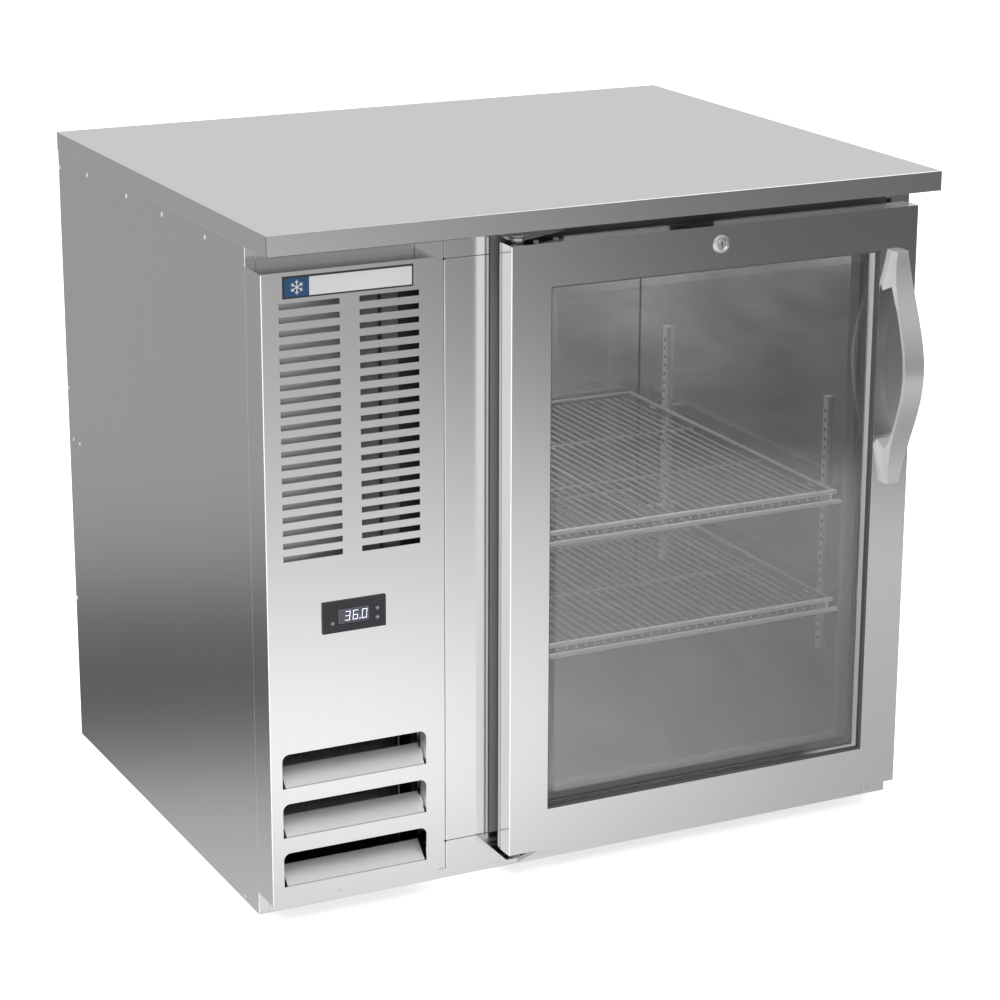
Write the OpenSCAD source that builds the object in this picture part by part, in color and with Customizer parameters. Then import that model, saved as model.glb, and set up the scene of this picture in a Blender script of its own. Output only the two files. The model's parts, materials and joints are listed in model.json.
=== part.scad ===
// Under counter fridge: a glass door back bar cooler with a side mounted condensing unit.
// X runs left to right, Y runs front to back and Z runs up. The origin is at the centre of the
// cabinet's underside. Depths named below are counted from the cabinet's front face.

/* [Cabinet] */
// Width of the cabinet body
body_w = 912.8; // [912:0.2:914]
// Depth of the cabinet body
body_d = 674; // [670:1:690]
// Height of the cabinet body, up to the worktop
body_h = 838.2; // [837:0.2:842]
// Thickness of the outer sheet metal
sheet = 1.2; // [1:0.1:1.4]

/* [Worktop] */
// Width of the worktop
top_w = 914.4; // [914:0.2:920]
// Thickness of the worktop
top_t = 25.4; // [20:0.2:40]
// Overhang of the worktop in front of the cabinet
top_overhang = 69; // [60:1:80]

/* [Door] */
// Width of the door
door_w = 575; // [574:0.5:576]
// Height of the door
door_h = 782; // [780:0.5:782]
// Distance from the cabinet's front face to the door's front face
door_proj = 48; // [48:1:50]
// Width of the door's stiles and rails, seen from the front
stile_w = 54; // [50:1:56]

/* [Grille cover] */
// Width of the grille cover
cover_w = 220.6; // [220:0.2:222]
// Height of the cover's lower edge above the floor
cover_z0 = 30; // [28:1:32]
// Height of the cover's upper edge above the floor
cover_z1 = 814.6; // [812:0.2:816]
// Number of slots in each column
slot_rows = 20; // [10:1:20]
// Slot length, height and pitch
slot_l = 76; // [70:1:78]
slot_h = 7; // [5:0.5:9]
slot_pitch = 16; // [14:0.5:16]
// Number of louvers
louver_count = 3; // [1:1:3]

/* [Interior] */
// Height of the upper shelf
shelf_upper_z = 426; // [400:2:450]
// Height of the lower shelf
shelf_lower_z = 276; // [240:2:300]
// Number of long wires in a shelf
shelf_wires = 36; // [20:1:36]

/* [Handle] */
// Length of the handle
handle_l = 306; // [280:2:320]
// Reach of the handle in front of the door, at its ends and at its middle
handle_end_reach = 12; // [12:0.5:15]
handle_mid_reach = 49; // [45:1:49]

/* [Hidden] */
$fn = 48;

steel_grey = [0.72, 0.73, 0.74];
dark_steel = [0.45, 0.46, 0.47];
black = [0.06, 0.06, 0.07];
copper = [0.72, 0.42, 0.27];
wire_grey = [0.62, 0.63, 0.63];

front = -body_d / 2;
half_w = body_w / 2;
inner_w = half_w - sheet;

// Cabinet face: the insulated side starts at wall_x, and the stile panel ends at ring_x0.
wall_x = -241;
strip_x1 = -203;
ring_x0 = -141;
ring_x1 = 421.4;
ring_z0 = 50;
ring_z1 = 823;
rail_z = 800;
top_fold = 17;
flange = 14;
seam = 0.6;
pan_t = 1.5;

// Clear opening behind the door, and the liner's inside faces.
mouth_x = [-98, 386];
mouth_z = [90, 778];
mouth_d = 22;
liner_x = [-150, 400];
liner_z = [51, 790];
liner_back = 600;
liner_t = 1;

// Machine compartment and its parts. The suction and liquid pipes cross the wall side by side.
unit_x = (-inner_w + wall_x) / 2;
coil_fan_z = 160;
fan_r = 76;
compressor_y = 330;
foot_x = 66;
foot_y = 48;
line_z = 620;
liquid_y = compressor_y + 24;
line_hole_r = 7;
elbow_z = 314;
gland_z = 560;

// Door.
door_x0 = -137;
door_z0 = 35.5;
door_x1 = door_x0 + door_w;
door_z1 = door_z0 + door_h;
door_mid = (door_x0 + door_x1) / 2;
shell_d = 25;
frame_d = 33;
glass_x = [door_x0 + stile_w, door_x1 - stile_w];
glass_z = [door_z0 + stile_w, door_z1 - stile_w];
pane_edge = 12;
pane_t = 4;
pane_front = -door_proj + 9;
spacer_t = 12;
lock_z = 794;
lock_r = 11.4;
plug_r = 6.4;
running_gap = 0.05;
handle_x = 410;
bow_t = 6;
handle_z = 609.5;
handle_screw_dz = 138;
handle_screw_r = 2.5;
seal_w = 2;

// Hinge axis, shared by both pins.
hinge_x = -120;
hinge_d = -30;
pin_r = 4;
collar_r = 7.5;
bracket_top_z = [821.5, 824.5];
bracket_low_z = [24, 30.5];

// Controller in the grille cover.
ctl_x = -345.5;
ctl_z = 390;
ctl_w = 82;
ctl_h = 39;
button_r = 2.6;
lens_x = [ctl_x - 22, ctl_x + 20];
lens_z = [ctl_z - 10, ctl_z + 10];

cover_x0 = -half_w;
cover_x1 = cover_x0 + cover_w;
cover_mid = (cover_x0 + cover_x1) / 2;
cover_d = 48;
cover_cut = [-cover_d - 1, -cover_d + 3];
slot_top_z = 774.5;
slot_gap = 25;
louver_w = 190;
louver_h = 43.7;
louver_pitch = 64;
louver_top_z = 181;
louver_r = 9;

shelf_x = [-128, 378];
shelf_y = [30, 585];
shelf_cross_y = [216, 402];
lip_drop = 14.8;
rod_r = 3.2;
wire_r = 1.6;
wire_pitch = 13.6;
pilaster_d = 9;
pilaster_w = 18;
pilaster_z = [188, 541];
pilaster_y = [82, 515];

evap_x = -62;
evap_y = [130, 560];
evap_z = [575, 785];
evap_fan_r = 62;
evap_fan_y = 345;
evap_fan_z = 682;

leg_x = 400;
leg_y = 287;
leg_hole_r = 6.35;
leg_pad = 64;
leg_pad_z = 6;
screw_proud = 0.8;

// Box between two corners, with Y given as depth behind the cabinet's front face.
module slab(x, y, z) {
    translate([x[0], front + y[0], z[0]])
        cube([x[1] - x[0], y[1] - y[0], z[1] - z[0]]);
}

// Box with a rectangular window through it along Y, w wide all round.
module ring(x, y, z, w) {
    difference() {
        slab(x, y, z);
        slab([x[0] + w, x[1] - w], [y[0] - 1, y[1] + 1], [z[0] + w, z[1] - w]);
    }
}

// Round bars along each axis, from depth or height a to b.
module bar_x(a, b, y, z, r) {
    translate([a, front + y, z]) rotate([0, 90, 0]) cylinder(r = r, h = b - a);
}
module bar_y(x, a, b, z, r) {
    translate([x, front + a, z]) rotate([-90, 0, 0]) cylinder(r = r, h = b - a);
}
module bar_z(x, y, a, b, r) {
    translate([x, front + y, a]) cylinder(r = r, h = b - a);
}
module ball(x, y, z, r) {
    translate([x, front + y, z]) sphere(r = r);
}

module base_pan() color(dark_steel) difference() {
    union() {
        slab([-inner_w, inner_w], [sheet, body_d - sheet], [0, pan_t]);
        for (x = [-leg_x, leg_x], y = [-leg_y, leg_y])
            translate([x - leg_pad / 2, y - leg_pad / 2, pan_t])
                cube([leg_pad, leg_pad, leg_pad_z - pan_t]);
    }
    for (x = [-leg_x, leg_x], y = [-leg_y, leg_y])
        translate([x, y, -1]) cylinder(r = leg_hole_r, h = leg_pad_z + 2);
}

module base_rail() color(steel_grey) difference() {
    slab([-half_w + flange, ring_x1 - seam], [0, sheet], [0, ring_z0]);
    slab([wall_x - seam, strip_x1 + seam], [-1, sheet + 1], [13, ring_z0 + 1]);
}

// Outer side sheet with flanges folded in at the front and the back.
module side_panel(front_flange) {
    slab([-half_w, -inner_w], [0, body_d], [0, body_h]);
    slab([-inner_w, -half_w + front_flange], [0, sheet], [0, body_h]);
    slab([-inner_w, -half_w + flange], [body_d - sheet, body_d], [0, body_h]);
}
module side_panel_left() color(steel_grey) side_panel(flange);
module side_panel_right() color(steel_grey) mirror([1, 0, 0]) side_panel(half_w - ring_x1);

// Vent slots of the back panel, in two columns behind the machine compartment.
module back_panel() color(dark_steel) difference() {
    slab([-half_w + flange, half_w - flange], [body_d - sheet, body_d], [0, body_h]);
    for (column = [-1, 1], row = [0:15])
        slab([unit_x + column * 46 - 36, unit_x + column * 46 + 36],
             [body_d - 3, body_d + 1], [70 + row * 22, 78 + row * 22]);
    bar_y(unit_x, body_d - 3, body_d + 1, gland_z, 8);
}

// Rail above the door, and its short length above the grille cover.
module top_rail() color(steel_grey) {
    slab([-half_w + flange, wall_x - seam], [0, sheet], [rail_z, body_h]);
    slab([strip_x1 + seam, ring_x1 - seam], [0, sheet], [ring_z1, body_h]);
    slab([strip_x1 + seam, ring_x0], [0, sheet], [rail_z, ring_z1]);
}

module stile_panel() color(steel_grey)
    slab([strip_x1 + seam, ring_x0], [0, sheet], [ring_z0 + seam, rail_z - seam]);

// Partition of the machine compartment, with the front strip folded from the same sheet.
module compartment_wall() color(steel_grey) difference() {
    union() {
        slab([wall_x, wall_x + sheet], [sheet, body_d - sheet], [pan_t, body_h]);
        slab([wall_x, strip_x1], [0, sheet], [13, body_h]);
    }
    for (y = [compressor_y, liquid_y]) bar_x(wall_x - 1, wall_x + 3, y, line_z, line_hole_r);
}

// Black frame of the door opening: a flat face and a lip that lines the way in.
module breaker_frame() color(black) {
    difference() {
        slab([ring_x0, ring_x1], [0, 2], [ring_z0, ring_z1]);
        slab(mouth_x, [-1, 3], mouth_z);
    }
    difference() {
        slab([mouth_x[0] - 2, mouth_x[1] + 2], [2, mouth_d], [mouth_z[0] - 2, mouth_z[1] + 2]);
        slab(mouth_x, [1, mouth_d + 1], mouth_z);
    }
}

module inner_liner() color(dark_steel) difference() {
    slab([liner_x[0] - liner_t, liner_x[1] + liner_t], [mouth_d, liner_back + liner_t],
         [liner_z[0] - liner_t, liner_z[1] + liner_t]);
    slab(liner_x, [mouth_d + liner_t, liner_back], liner_z);
    slab([mouth_x[0] - 2, mouth_x[1] + 2], [mouth_d - 1, mouth_d + 2],
         [mouth_z[0] - 2, mouth_z[1] + 2]);
    for (y = [compressor_y, liquid_y])
        bar_x(liner_x[0] - 3, liner_x[0] + 1, y, line_z, line_hole_r);
}

// Insulation between the outer sheets and the liner, with one passage for both pipes.
module foam_body() color([0.85, 0.8, 0.6]) difference() {
    slab([wall_x + sheet, inner_w], [sheet, body_d - sheet], [pan_t, body_h]);
    slab([liner_x[0] - liner_t, liner_x[1] + liner_t], [mouth_d, liner_back + liner_t],
         [liner_z[0] - liner_t, liner_z[1] + liner_t]);
    slab([ring_x0, ring_x1], [0, 2], [ring_z0, ring_z1]);
    slab([mouth_x[0] - 2, mouth_x[1] + 2], [1, mouth_d + 1], [mouth_z[0] - 2, mouth_z[1] + 2]);
    for (y = [-leg_y, leg_y])
        translate([leg_x - leg_pad / 2 - 1, y - leg_pad / 2 - 1, 0])
            cube([leg_pad + 2, leg_pad + 2, leg_pad_z + 1]);
    slab([wall_x, liner_x[0]], [compressor_y - line_hole_r, liquid_y + line_hole_r],
         [line_z - line_hole_r, line_z + line_hole_r]);
}

// Folded worktop sheet: open underneath where it rests on the body, closed under the overhang.
module worktop() color([0.78, 0.78, 0.79]) difference() {
    slab([-top_w / 2, top_w / 2], [-top_overhang, body_d], [body_h, body_h + top_t]);
    slab([-top_w / 2 + sheet, top_w / 2 - sheet], [-top_overhang + sheet, body_d - sheet],
         [body_h + sheet, body_h + top_t - sheet]);
    slab([-top_w / 2 + top_fold, top_w / 2 - top_fold], [top_fold, body_d - top_fold],
         [body_h - 1, body_h + 2]);
}

module worktop_core() color([0.6, 0.5, 0.38])
    slab([-top_w / 2 + sheet, top_w / 2 - sheet], [-top_overhang + sheet, body_d - sheet],
         [body_h + sheet, body_h + top_t - sheet]);

// Louver opening with round upper corners, its lower edge at z.
module louver_opening(z) {
    x = [cover_mid - louver_w / 2, cover_mid + louver_w / 2];
    slab(x, cover_cut, [z, z + louver_h - louver_r]);
    slab([x[0] + louver_r, x[1] - louver_r], cover_cut, [z, z + louver_h]);
    for (cx = [x[0] + louver_r, x[1] - louver_r])
        bar_y(cx, cover_cut[0], cover_cut[1], z + louver_h - louver_r, louver_r);
}

module grille_cover() color(steel_grey) difference() {
    slab([cover_x0, cover_x1], [-cover_d, 0], [cover_z0, cover_z1]);
    slab([cover_x0 + sheet, cover_x1 - sheet], [-cover_d + sheet, 1],
         [cover_z0 + sheet, cover_z1 - sheet]);
    for (row = [0:slot_rows - 1], side = [-1, 1])
        slab([cover_mid + side * (slot_l + slot_gap) / 2 - slot_l / 2,
              cover_mid + side * (slot_l + slot_gap) / 2 + slot_l / 2],
             cover_cut,
             [slot_top_z - row * slot_pitch - slot_h / 2,
              slot_top_z - row * slot_pitch + slot_h / 2]);
    for (i = [0:louver_count - 1]) louver_opening(louver_top_z - i * louver_pitch);
    slab([ctl_x - ctl_w / 2 + 5, ctl_x + ctl_w / 2 - 5], cover_cut,
         [ctl_z - ctl_h / 2 + 4, ctl_z + ctl_h / 2 - 4]);
}

// Sloping blades behind the louver openings, each with a flange below its lower edge.
module louver_blades() color(steel_grey)
    for (i = [0:louver_count - 1])
        translate([cover_mid - louver_w / 2 - 3, front - cover_d + sheet,
                   louver_top_z - i * louver_pitch])
            rotate([90, 0, 90]) linear_extrude(louver_w + 6)
                polygon([[0, -9], [1, -9], [1, 0.5], [21, 19.1], [21, 20.5], [0, 1]]);

// Screw heads of the side panels and the grille cover.
module panel_screws() color(dark_steel) {
    for (y = [126, 273, 403, 555]) bar_x(-half_w - screw_proud, -half_w, y, 825, 3);
    for (z = [816, 511, 206]) bar_x(-half_w - screw_proud, -half_w, body_d - 5, z, 3);
    for (y = [630, 656]) bar_x(-half_w - screw_proud, -half_w, y, 440, 2.5);
    bar_x(-half_w - screw_proud, -half_w, 45, 6, 3);
    bar_y(431, -screw_proud, 0, 7, 2.5);
    bar_y(cover_mid - 22, -cover_d - screw_proud, -cover_d, cover_z0 + 5, 2);
}

// Blank plate: no mark on it.
module nameplate() color([0.85, 0.86, 0.88])
    slab([cover_mid - 83.6, cover_mid + 81], [-cover_d - 1.2, -cover_d], [783.3, 809.5]);

module controller_case() color(black) difference() {
    union() {
        slab([ctl_x - ctl_w / 2, ctl_x + ctl_w / 2], [-cover_d - 2.5, -cover_d],
             [ctl_z - ctl_h / 2, ctl_z + ctl_h / 2]);
        slab([ctl_x - ctl_w / 2 + 5, ctl_x + ctl_w / 2 - 5], [-cover_d, -8],
             [ctl_z - ctl_h / 2 + 4, ctl_z + ctl_h / 2 - 4]);
    }
    slab(lens_x, [-cover_d - 3, -cover_d - 1], lens_z);
    for (b = button_places) bar_y(b[0], -cover_d - 3, -cover_d + 3, b[1], button_r + running_gap);
}

// Places of the buttons on the controller's face, as X and Z.
button_places = [[ctl_x + 29.5, ctl_z + 4.5], [ctl_x + 29.5, ctl_z - 7], [ctl_x - 29, ctl_z - 7]];

module display_lens() color([0.03, 0.04, 0.05])
    slab(lens_x, [-cover_d - 2.3, -cover_d - 1], lens_z);

module button(place) color([0.2, 0.2, 0.21])
    bar_y(place[0], -cover_d - 3.3, -cover_d + 1.8, place[1], button_r);
module button_up() button(button_places[0]);
module button_down() button(button_places[1]);
module button_set() button(button_places[2]);

// Tray that carries the condensing unit.
module unit_base() color(dark_steel) {
    slab([unit_x - 100, unit_x + 100], [8, 640], [6, 8]);
    for (x = [unit_x - 100, unit_x + 98]) slab([x, x + 2], [8, 640], [8, 22]);
}

module compressor() color(black) difference() {
    union() {
        translate([unit_x, front + compressor_y, 0]) rotate_extrude()
            polygon(compressor_outline());
        slab([unit_x - 84, unit_x + 84], [compressor_y - 62, compressor_y + 62], [24, 27]);
        slab([unit_x - 28, unit_x + 28], [compressor_y - 96, compressor_y - 72], [78, 128]);
    }
    for (x = [-foot_x, foot_x], y = [-foot_y, foot_y])
        bar_z(unit_x + x, compressor_y + y, 20, 30, 6);
}
// Half outline of the compressor's shell: a bowl, a welded seam and a dome.
function compressor_outline() = concat(
    [[0, 27], [56, 27]],
    [for (a = [-60:20:0]) [64 + 14 * cos(a), 42 + 14 * sin(a)]],
    [[78, 116], [81, 116], [81, 122], [78, 122]],
    [for (a = [0:15:90]) [38 + 40 * cos(a), 160 + 34 * sin(a)]],
    [[0, 194]]
);

// Rubber feet under the compressor: body, neck through the foot plate and cap.
module compressor_grommets() color(black)
    for (x = [-foot_x, foot_x], y = [-foot_y, foot_y]) {
        bar_z(unit_x + x, compressor_y + y, 8, 24, 11);
        bar_z(unit_x + x, compressor_y + y, 24, 27, 6);
        bar_z(unit_x + x, compressor_y + y, 27, 32, 9);
    }

module condenser_coil() color([0.55, 0.56, 0.57]) {
    slab([unit_x - 84, unit_x + 84], [14, 52], [24, 296]);
    for (x = [unit_x - 86, unit_x + 84]) slab([x, x + 2], [12, 56], [8, 300]);
    for (z = [40:32:280], side = [-1, 1]) {
        bar_x(unit_x + side * 92 - 6, unit_x + side * 92 + 6, 24, z, 4.5);
        bar_x(unit_x + side * 92 - 6, unit_x + side * 92 + 6, 42, z, 4.5);
    }
}

module fan_shroud() color(dark_steel) {
    difference() {
        slab([unit_x - 90, unit_x + 90], [56, 58], [22, 300]);
        bar_y(unit_x, 50, 60, coil_fan_z, fan_r + 6);
    }
    for (x = [unit_x - 90, unit_x + 88]) slab([x, x + 2], [58, 112], [22, 300]);
    difference() {
        bar_y(unit_x, 58, 84, coil_fan_z, fan_r + 8);
        bar_y(unit_x, 57, 85, coil_fan_z, fan_r + 6);
    }
}

module condenser_fan_motor() color(black) {
    bar_y(unit_x, 96, 146, coil_fan_z, 34);
    bar_y(unit_x, 62, 96, coil_fan_z, pin_r);
    slab([unit_x - 88, unit_x - 33], [100, 104], [coil_fan_z - 7, coil_fan_z + 7]);
    slab([unit_x + 33, unit_x + 88], [100, 104], [coil_fan_z - 7, coil_fan_z + 7]);
}

// Axial fan along +Z: a hub with a running bore and tilted blades.
module fan_wheel(tip_r, blades, depth, bore_r) difference() {
    union() {
        cylinder(r = 18, h = depth);
        intersection() {
            cylinder(r = tip_r, h = depth);
            for (i = [0:blades - 1]) rotate([0, 0, i * 360 / blades])
                translate([10, 0, depth / 2]) rotate([32, 0, 0])
                    translate([0, -20, -0.8]) cube([tip_r, 40, 1.6]);
        }
    }
    translate([0, 0, -1]) cylinder(r = bore_r, h = depth + 2);
}

module condenser_fan() color(black)
    translate([unit_x, front + 88, coil_fan_z]) rotate([90, 0, 0])
        fan_wheel(fan_r, 5, 22, pin_r + running_gap);

// Pipe through a list of points, with round elbows. Y is depth.
module pipe(points, r) {
    for (i = [0:len(points) - 2]) pipe_run(points[i], points[i + 1], r);
    for (i = [1:len(points) - 2]) ball(points[i][0], points[i][1], points[i][2], r);
}
module pipe_run(a, b, r) {
    lo = [for (k = [0:2]) min(a[k], b[k])];
    hi = [for (k = [0:2]) max(a[k], b[k])];
    if (a[0] != b[0]) bar_x(lo[0], hi[0], a[1], a[2], r);
    if (a[1] != b[1]) bar_y(a[0], lo[1], hi[1], a[2], r);
    if (a[2] != b[2]) bar_z(a[0], a[1], lo[2], hi[2], r);
}

// Suction, liquid and discharge pipes, with the filter drier in the liquid line.
module refrigerant_lines() color(copper) {
    pipe([[unit_x + 78, compressor_y, 90], [unit_x + 96, compressor_y, 90],
          [unit_x + 96, compressor_y, line_z], [liner_x[0] + 3, compressor_y, line_z]], 5);
    pipe([[unit_x + 78, 34, 296], [unit_x + 78, 34, elbow_z], [unit_x + 78, liquid_y, elbow_z],
          [unit_x + 78, liquid_y, line_z], [liner_x[0] + 3, liquid_y, line_z]], 3.5);
    bar_y(unit_x + 78, 150, 250, elbow_z, 11);
    pipe([[unit_x - 78, compressor_y, 90], [unit_x - 97, compressor_y, 90],
          [unit_x - 97, 62, 90], [unit_x - 97, 62, 74], [unit_x - 97, 46, 74]], 4);
}

module electrical_box() color(dark_steel) {
    slab([wall_x - 52, wall_x], [130, 280], [380, 500]);
    slab([wall_x - 54, wall_x - 52], [126, 284], [376, 504]);
}

module condensate_pan() color(black) difference() {
    slab([unit_x - 90, unit_x + 90], [470, 630], [8, 58]);
    slab([unit_x - 87, unit_x + 87], [473, 627], [11, 59]);
}

module evaporator_housing() color([0.82, 0.83, 0.84]) difference() {
    slab([liner_x[0], evap_x], evap_y, evap_z);
    slab([liner_x[0] - 1, evap_x - 1.5], [evap_y[0] + 1.5, evap_y[1] - 1.5],
         [evap_z[0] + 1.5, evap_z[1] - 1.5]);
    bar_x(evap_x - 3, evap_x + 1, evap_fan_y, evap_fan_z, evap_fan_r + 4);
    for (y = [-150, 150], i = [0:7])
        slab([evap_x - 3, evap_x + 1], [evap_fan_y + y - 36, evap_fan_y + y + 36],
             [evap_z[0] + 30 + i * 18, evap_z[0] + 38 + i * 18]);
}

module evaporator_coil() color([0.75, 0.76, 0.78]) {
    slab([liner_x[0] + 3, liner_x[0] + 36], [evap_y[0] + 20, evap_y[1] - 20],
         [evap_z[0] + 15, evap_z[1] - 15]);
    for (z = [evap_z[0] + 30:30:evap_z[1] - 30])
        bar_y(liner_x[0] + 20, evap_y[0] + 10, evap_y[1] - 10, z, 4.5);
}

module evaporator_fan_motor() color(black) {
    bar_x(liner_x[0] + 36, liner_x[0] + 64, evap_fan_y, evap_fan_z, 22);
    bar_x(liner_x[0] + 64, evap_x - 4, evap_fan_y, evap_fan_z, 3);
}

module evaporator_fan() color([0.7, 0.71, 0.73])
    translate([evap_x - 19, front + evap_fan_y, evap_fan_z]) rotate([0, 90, 0])
        fan_wheel(evap_fan_r, 4, 14, 3 + running_gap);

// Slotted shelf standard that stands on a side wall; the wall's face is at x and it stands
// out along side.
module pilaster(x, side, y) color([0.7, 0.71, 0.72]) difference() {
    slab([min(x, x + side * pilaster_d), max(x, x + side * pilaster_d)],
         [y - pilaster_w / 2, y + pilaster_w / 2], pilaster_z);
    for (z = [pilaster_z[0] + 13:12.7:pilaster_z[1] - 10])
        slab([min(x, x + side * 12), max(x, x + side * 12)], [y - 4, y + 4], [z, z + 5]);
}
module pilaster_front_left() pilaster(liner_x[0], 1, pilaster_y[0]);
module pilaster_front_right() pilaster(liner_x[1], -1, pilaster_y[0]);
module pilaster_rear_left() pilaster(liner_x[0], 1, pilaster_y[1]);
module pilaster_rear_right() pilaster(liner_x[1], -1, pilaster_y[1]);

// Clips that hook onto the shelf standards, under each corner of each shelf.
module shelf_clips() color([0.7, 0.71, 0.72])
    for (z = [shelf_upper_z, shelf_lower_z] - [rod_r, rod_r], y = pilaster_y) {
        slab([liner_x[1] - pilaster_d - 17, liner_x[1] - pilaster_d], [y - 7, y + 7],
             [z - 2.1, z - 0.1]);
        slab([liner_x[1] - pilaster_d - 1.5, liner_x[1] - pilaster_d], [y - 7, y + 7],
             [z - 16, z - 2.1]);
        slab([liner_x[0] + pilaster_d, liner_x[0] + pilaster_d + 17], [y - 7, y + 7],
             [z - 2.1, z - 0.1]);
        slab([liner_x[0] + pilaster_d, liner_x[0] + pilaster_d + 1.5], [y - 7, y + 7],
             [z - 16, z - 2.1]);
    }

// Wire shelf: a rod frame at height z, a lip rod below its front, cross rods and long wires.
module wire_shelf(z) color(wire_grey) {
    for (y = shelf_y) prism_x(shelf_x[0] - 4, shelf_x[1] + 4, y, z, rod_r);
    for (x = shelf_x) prism_y(x, shelf_y[0] - 1, shelf_y[1] + 1, z - 0.3, rod_r - 0.3);
    prism_x(shelf_x[0] - 11, shelf_x[1] + 11, shelf_y[0] - 0.5, z - lip_drop, rod_r);
    for (y = shelf_cross_y) prism_x(shelf_x[0] - 1, shelf_x[1] + 1, y, z - 7.4, 2.5);
    for (i = [0:shelf_wires - 1])
        prism_y(shelf_x[0] + 15 + i * wire_pitch, shelf_y[0] - 4, shelf_y[1] + 5, z - 4.2, wire_r);
    for (x = [shelf_x[0] + 4.3, shelf_x[1] - 4.3])
        prism_z(x, shelf_y[0] - 0.2, z - lip_drop, z - 1, 2.2);
}
// Eight sided rods along each axis, from depth or height a to b.
module prism_x(a, b, y, z, r) {
    translate([a, front + y, z]) rotate([90, 0, 90]) linear_extrude(b - a) octagon(r);
}
module prism_y(x, a, b, z, r) {
    translate([x, front + b, z]) rotate([90, 0, 0]) linear_extrude(b - a) octagon(r);
}
module prism_z(x, y, a, b, r) {
    translate([x, front + y, a]) linear_extrude(b - a) octagon(r);
}
module octagon(r) polygon([for (k = [0:7]) r * [cos(45 * k + 22.5), sin(45 * k + 22.5)]]);
module shelf_upper() wire_shelf(shelf_upper_z);
module shelf_lower() wire_shelf(shelf_lower_z);

module light_strip() color([0.95, 0.96, 1])
    slab([-60, 350], [26, 46], [liner_z[1] - 14, liner_z[1]]);

// Hinge bracket: an arm with the given plan outline, reaching forward to the hinge axis, and
// a flange against the cabinet face.
module hinge_bracket(arm_z, outline, flange_x, flange_z) color(steel_grey) difference() {
    union() {
        translate([0, front, arm_z[0]]) linear_extrude(arm_z[1] - arm_z[0]) polygon(outline);
        slab(flange_x, [-2.5, 0], flange_z);
    }
    bar_z(hinge_x, hinge_d, arm_z[0] - 1, arm_z[1] + 1, pin_r);
}
module hinge_bracket_top() hinge_bracket(bracket_top_z,
    [[-132, -2.5], [-132, -30], [-129, -38], [-120, -42], [-111, -38], [-48, -12], [-44, -2.5]],
    [-132, -44], [bracket_top_z[0], 835]);
module hinge_bracket_bottom() hinge_bracket(bracket_low_z,
    [[-140, -2.5], [-140, -46], [-124, -46], [-104, -36], [-50, -6], [-50, -2.5]],
    [-140, -50], [8, bracket_low_z[1]]);

// Upper and lower pins: the head or collar seats on the bracket and the stem enters the door.
module hinge_pins() color(dark_steel) {
    bar_z(hinge_x, hinge_d, door_z1 - 18, bracket_top_z[1], pin_r);
    bar_z(hinge_x, hinge_d, bracket_top_z[1], bracket_top_z[1] + 2.5, collar_r);
    bar_z(hinge_x, hinge_d, door_z1 + 1.2, bracket_top_z[0], collar_r);
    bar_z(hinge_x, hinge_d, bracket_low_z[0], door_z0 + 18, pin_r);
    bar_z(hinge_x, hinge_d, bracket_low_z[1], door_z0 - 0.6, collar_r);
}

// Catch under the worktop that the raised lock cam stands behind.
module lock_strike() color(dark_steel) {
    slab([door_mid - 32, door_mid + 32], [-27, -4], [body_h - sheet, body_h]);
    slab([door_mid - 32, door_mid + 32], [-27, -25], [body_h - 10, body_h - sheet]);
}

// Threaded gland for the supply cord, through the back panel.
module cord_gland() color(black) difference() {
    union() {
        bar_y(unit_x, body_d - sheet - 12, body_d + 4, gland_z, 8);
        bar_y(unit_x, body_d - sheet - 8, body_d - sheet, gland_z, 14);
        bar_y(unit_x, body_d, body_d + 5, gland_z, 13);
    }
    bar_y(unit_x, body_d - sheet - 13, body_d + 6, gland_z, 5);
}

// Front shell of the door: a folded channel all round the glass.
module door_shell() color(steel_grey) difference() {
    union() {
        ring([door_x0, door_x1], [-door_proj, -door_proj + shell_d], [door_z0, door_z1], sheet);
        ring([door_x0, door_x1], [-door_proj, -door_proj + sheet], [door_z0, door_z1], stile_w);
        ring([glass_x[0] - sheet, glass_x[1] + sheet], [-door_proj, -door_proj + 8],
             [glass_z[0] - sheet, glass_z[1] + sheet], sheet);
    }
    bar_y(door_mid, -door_proj - 1, -door_proj + 3, lock_z, 9.5);
    for (z = [handle_z - handle_screw_dz, handle_z + handle_screw_dz])
        bar_y(handle_x, -door_proj - 1, -door_proj + 3, z, handle_screw_r);
    bar_z(hinge_x, hinge_d, door_z0 - 1, door_z0 + 3, pin_r + 1);
    bar_z(hinge_x, hinge_d, door_z1 - 3, door_z1 + 1, pin_r + 1);
}

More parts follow.
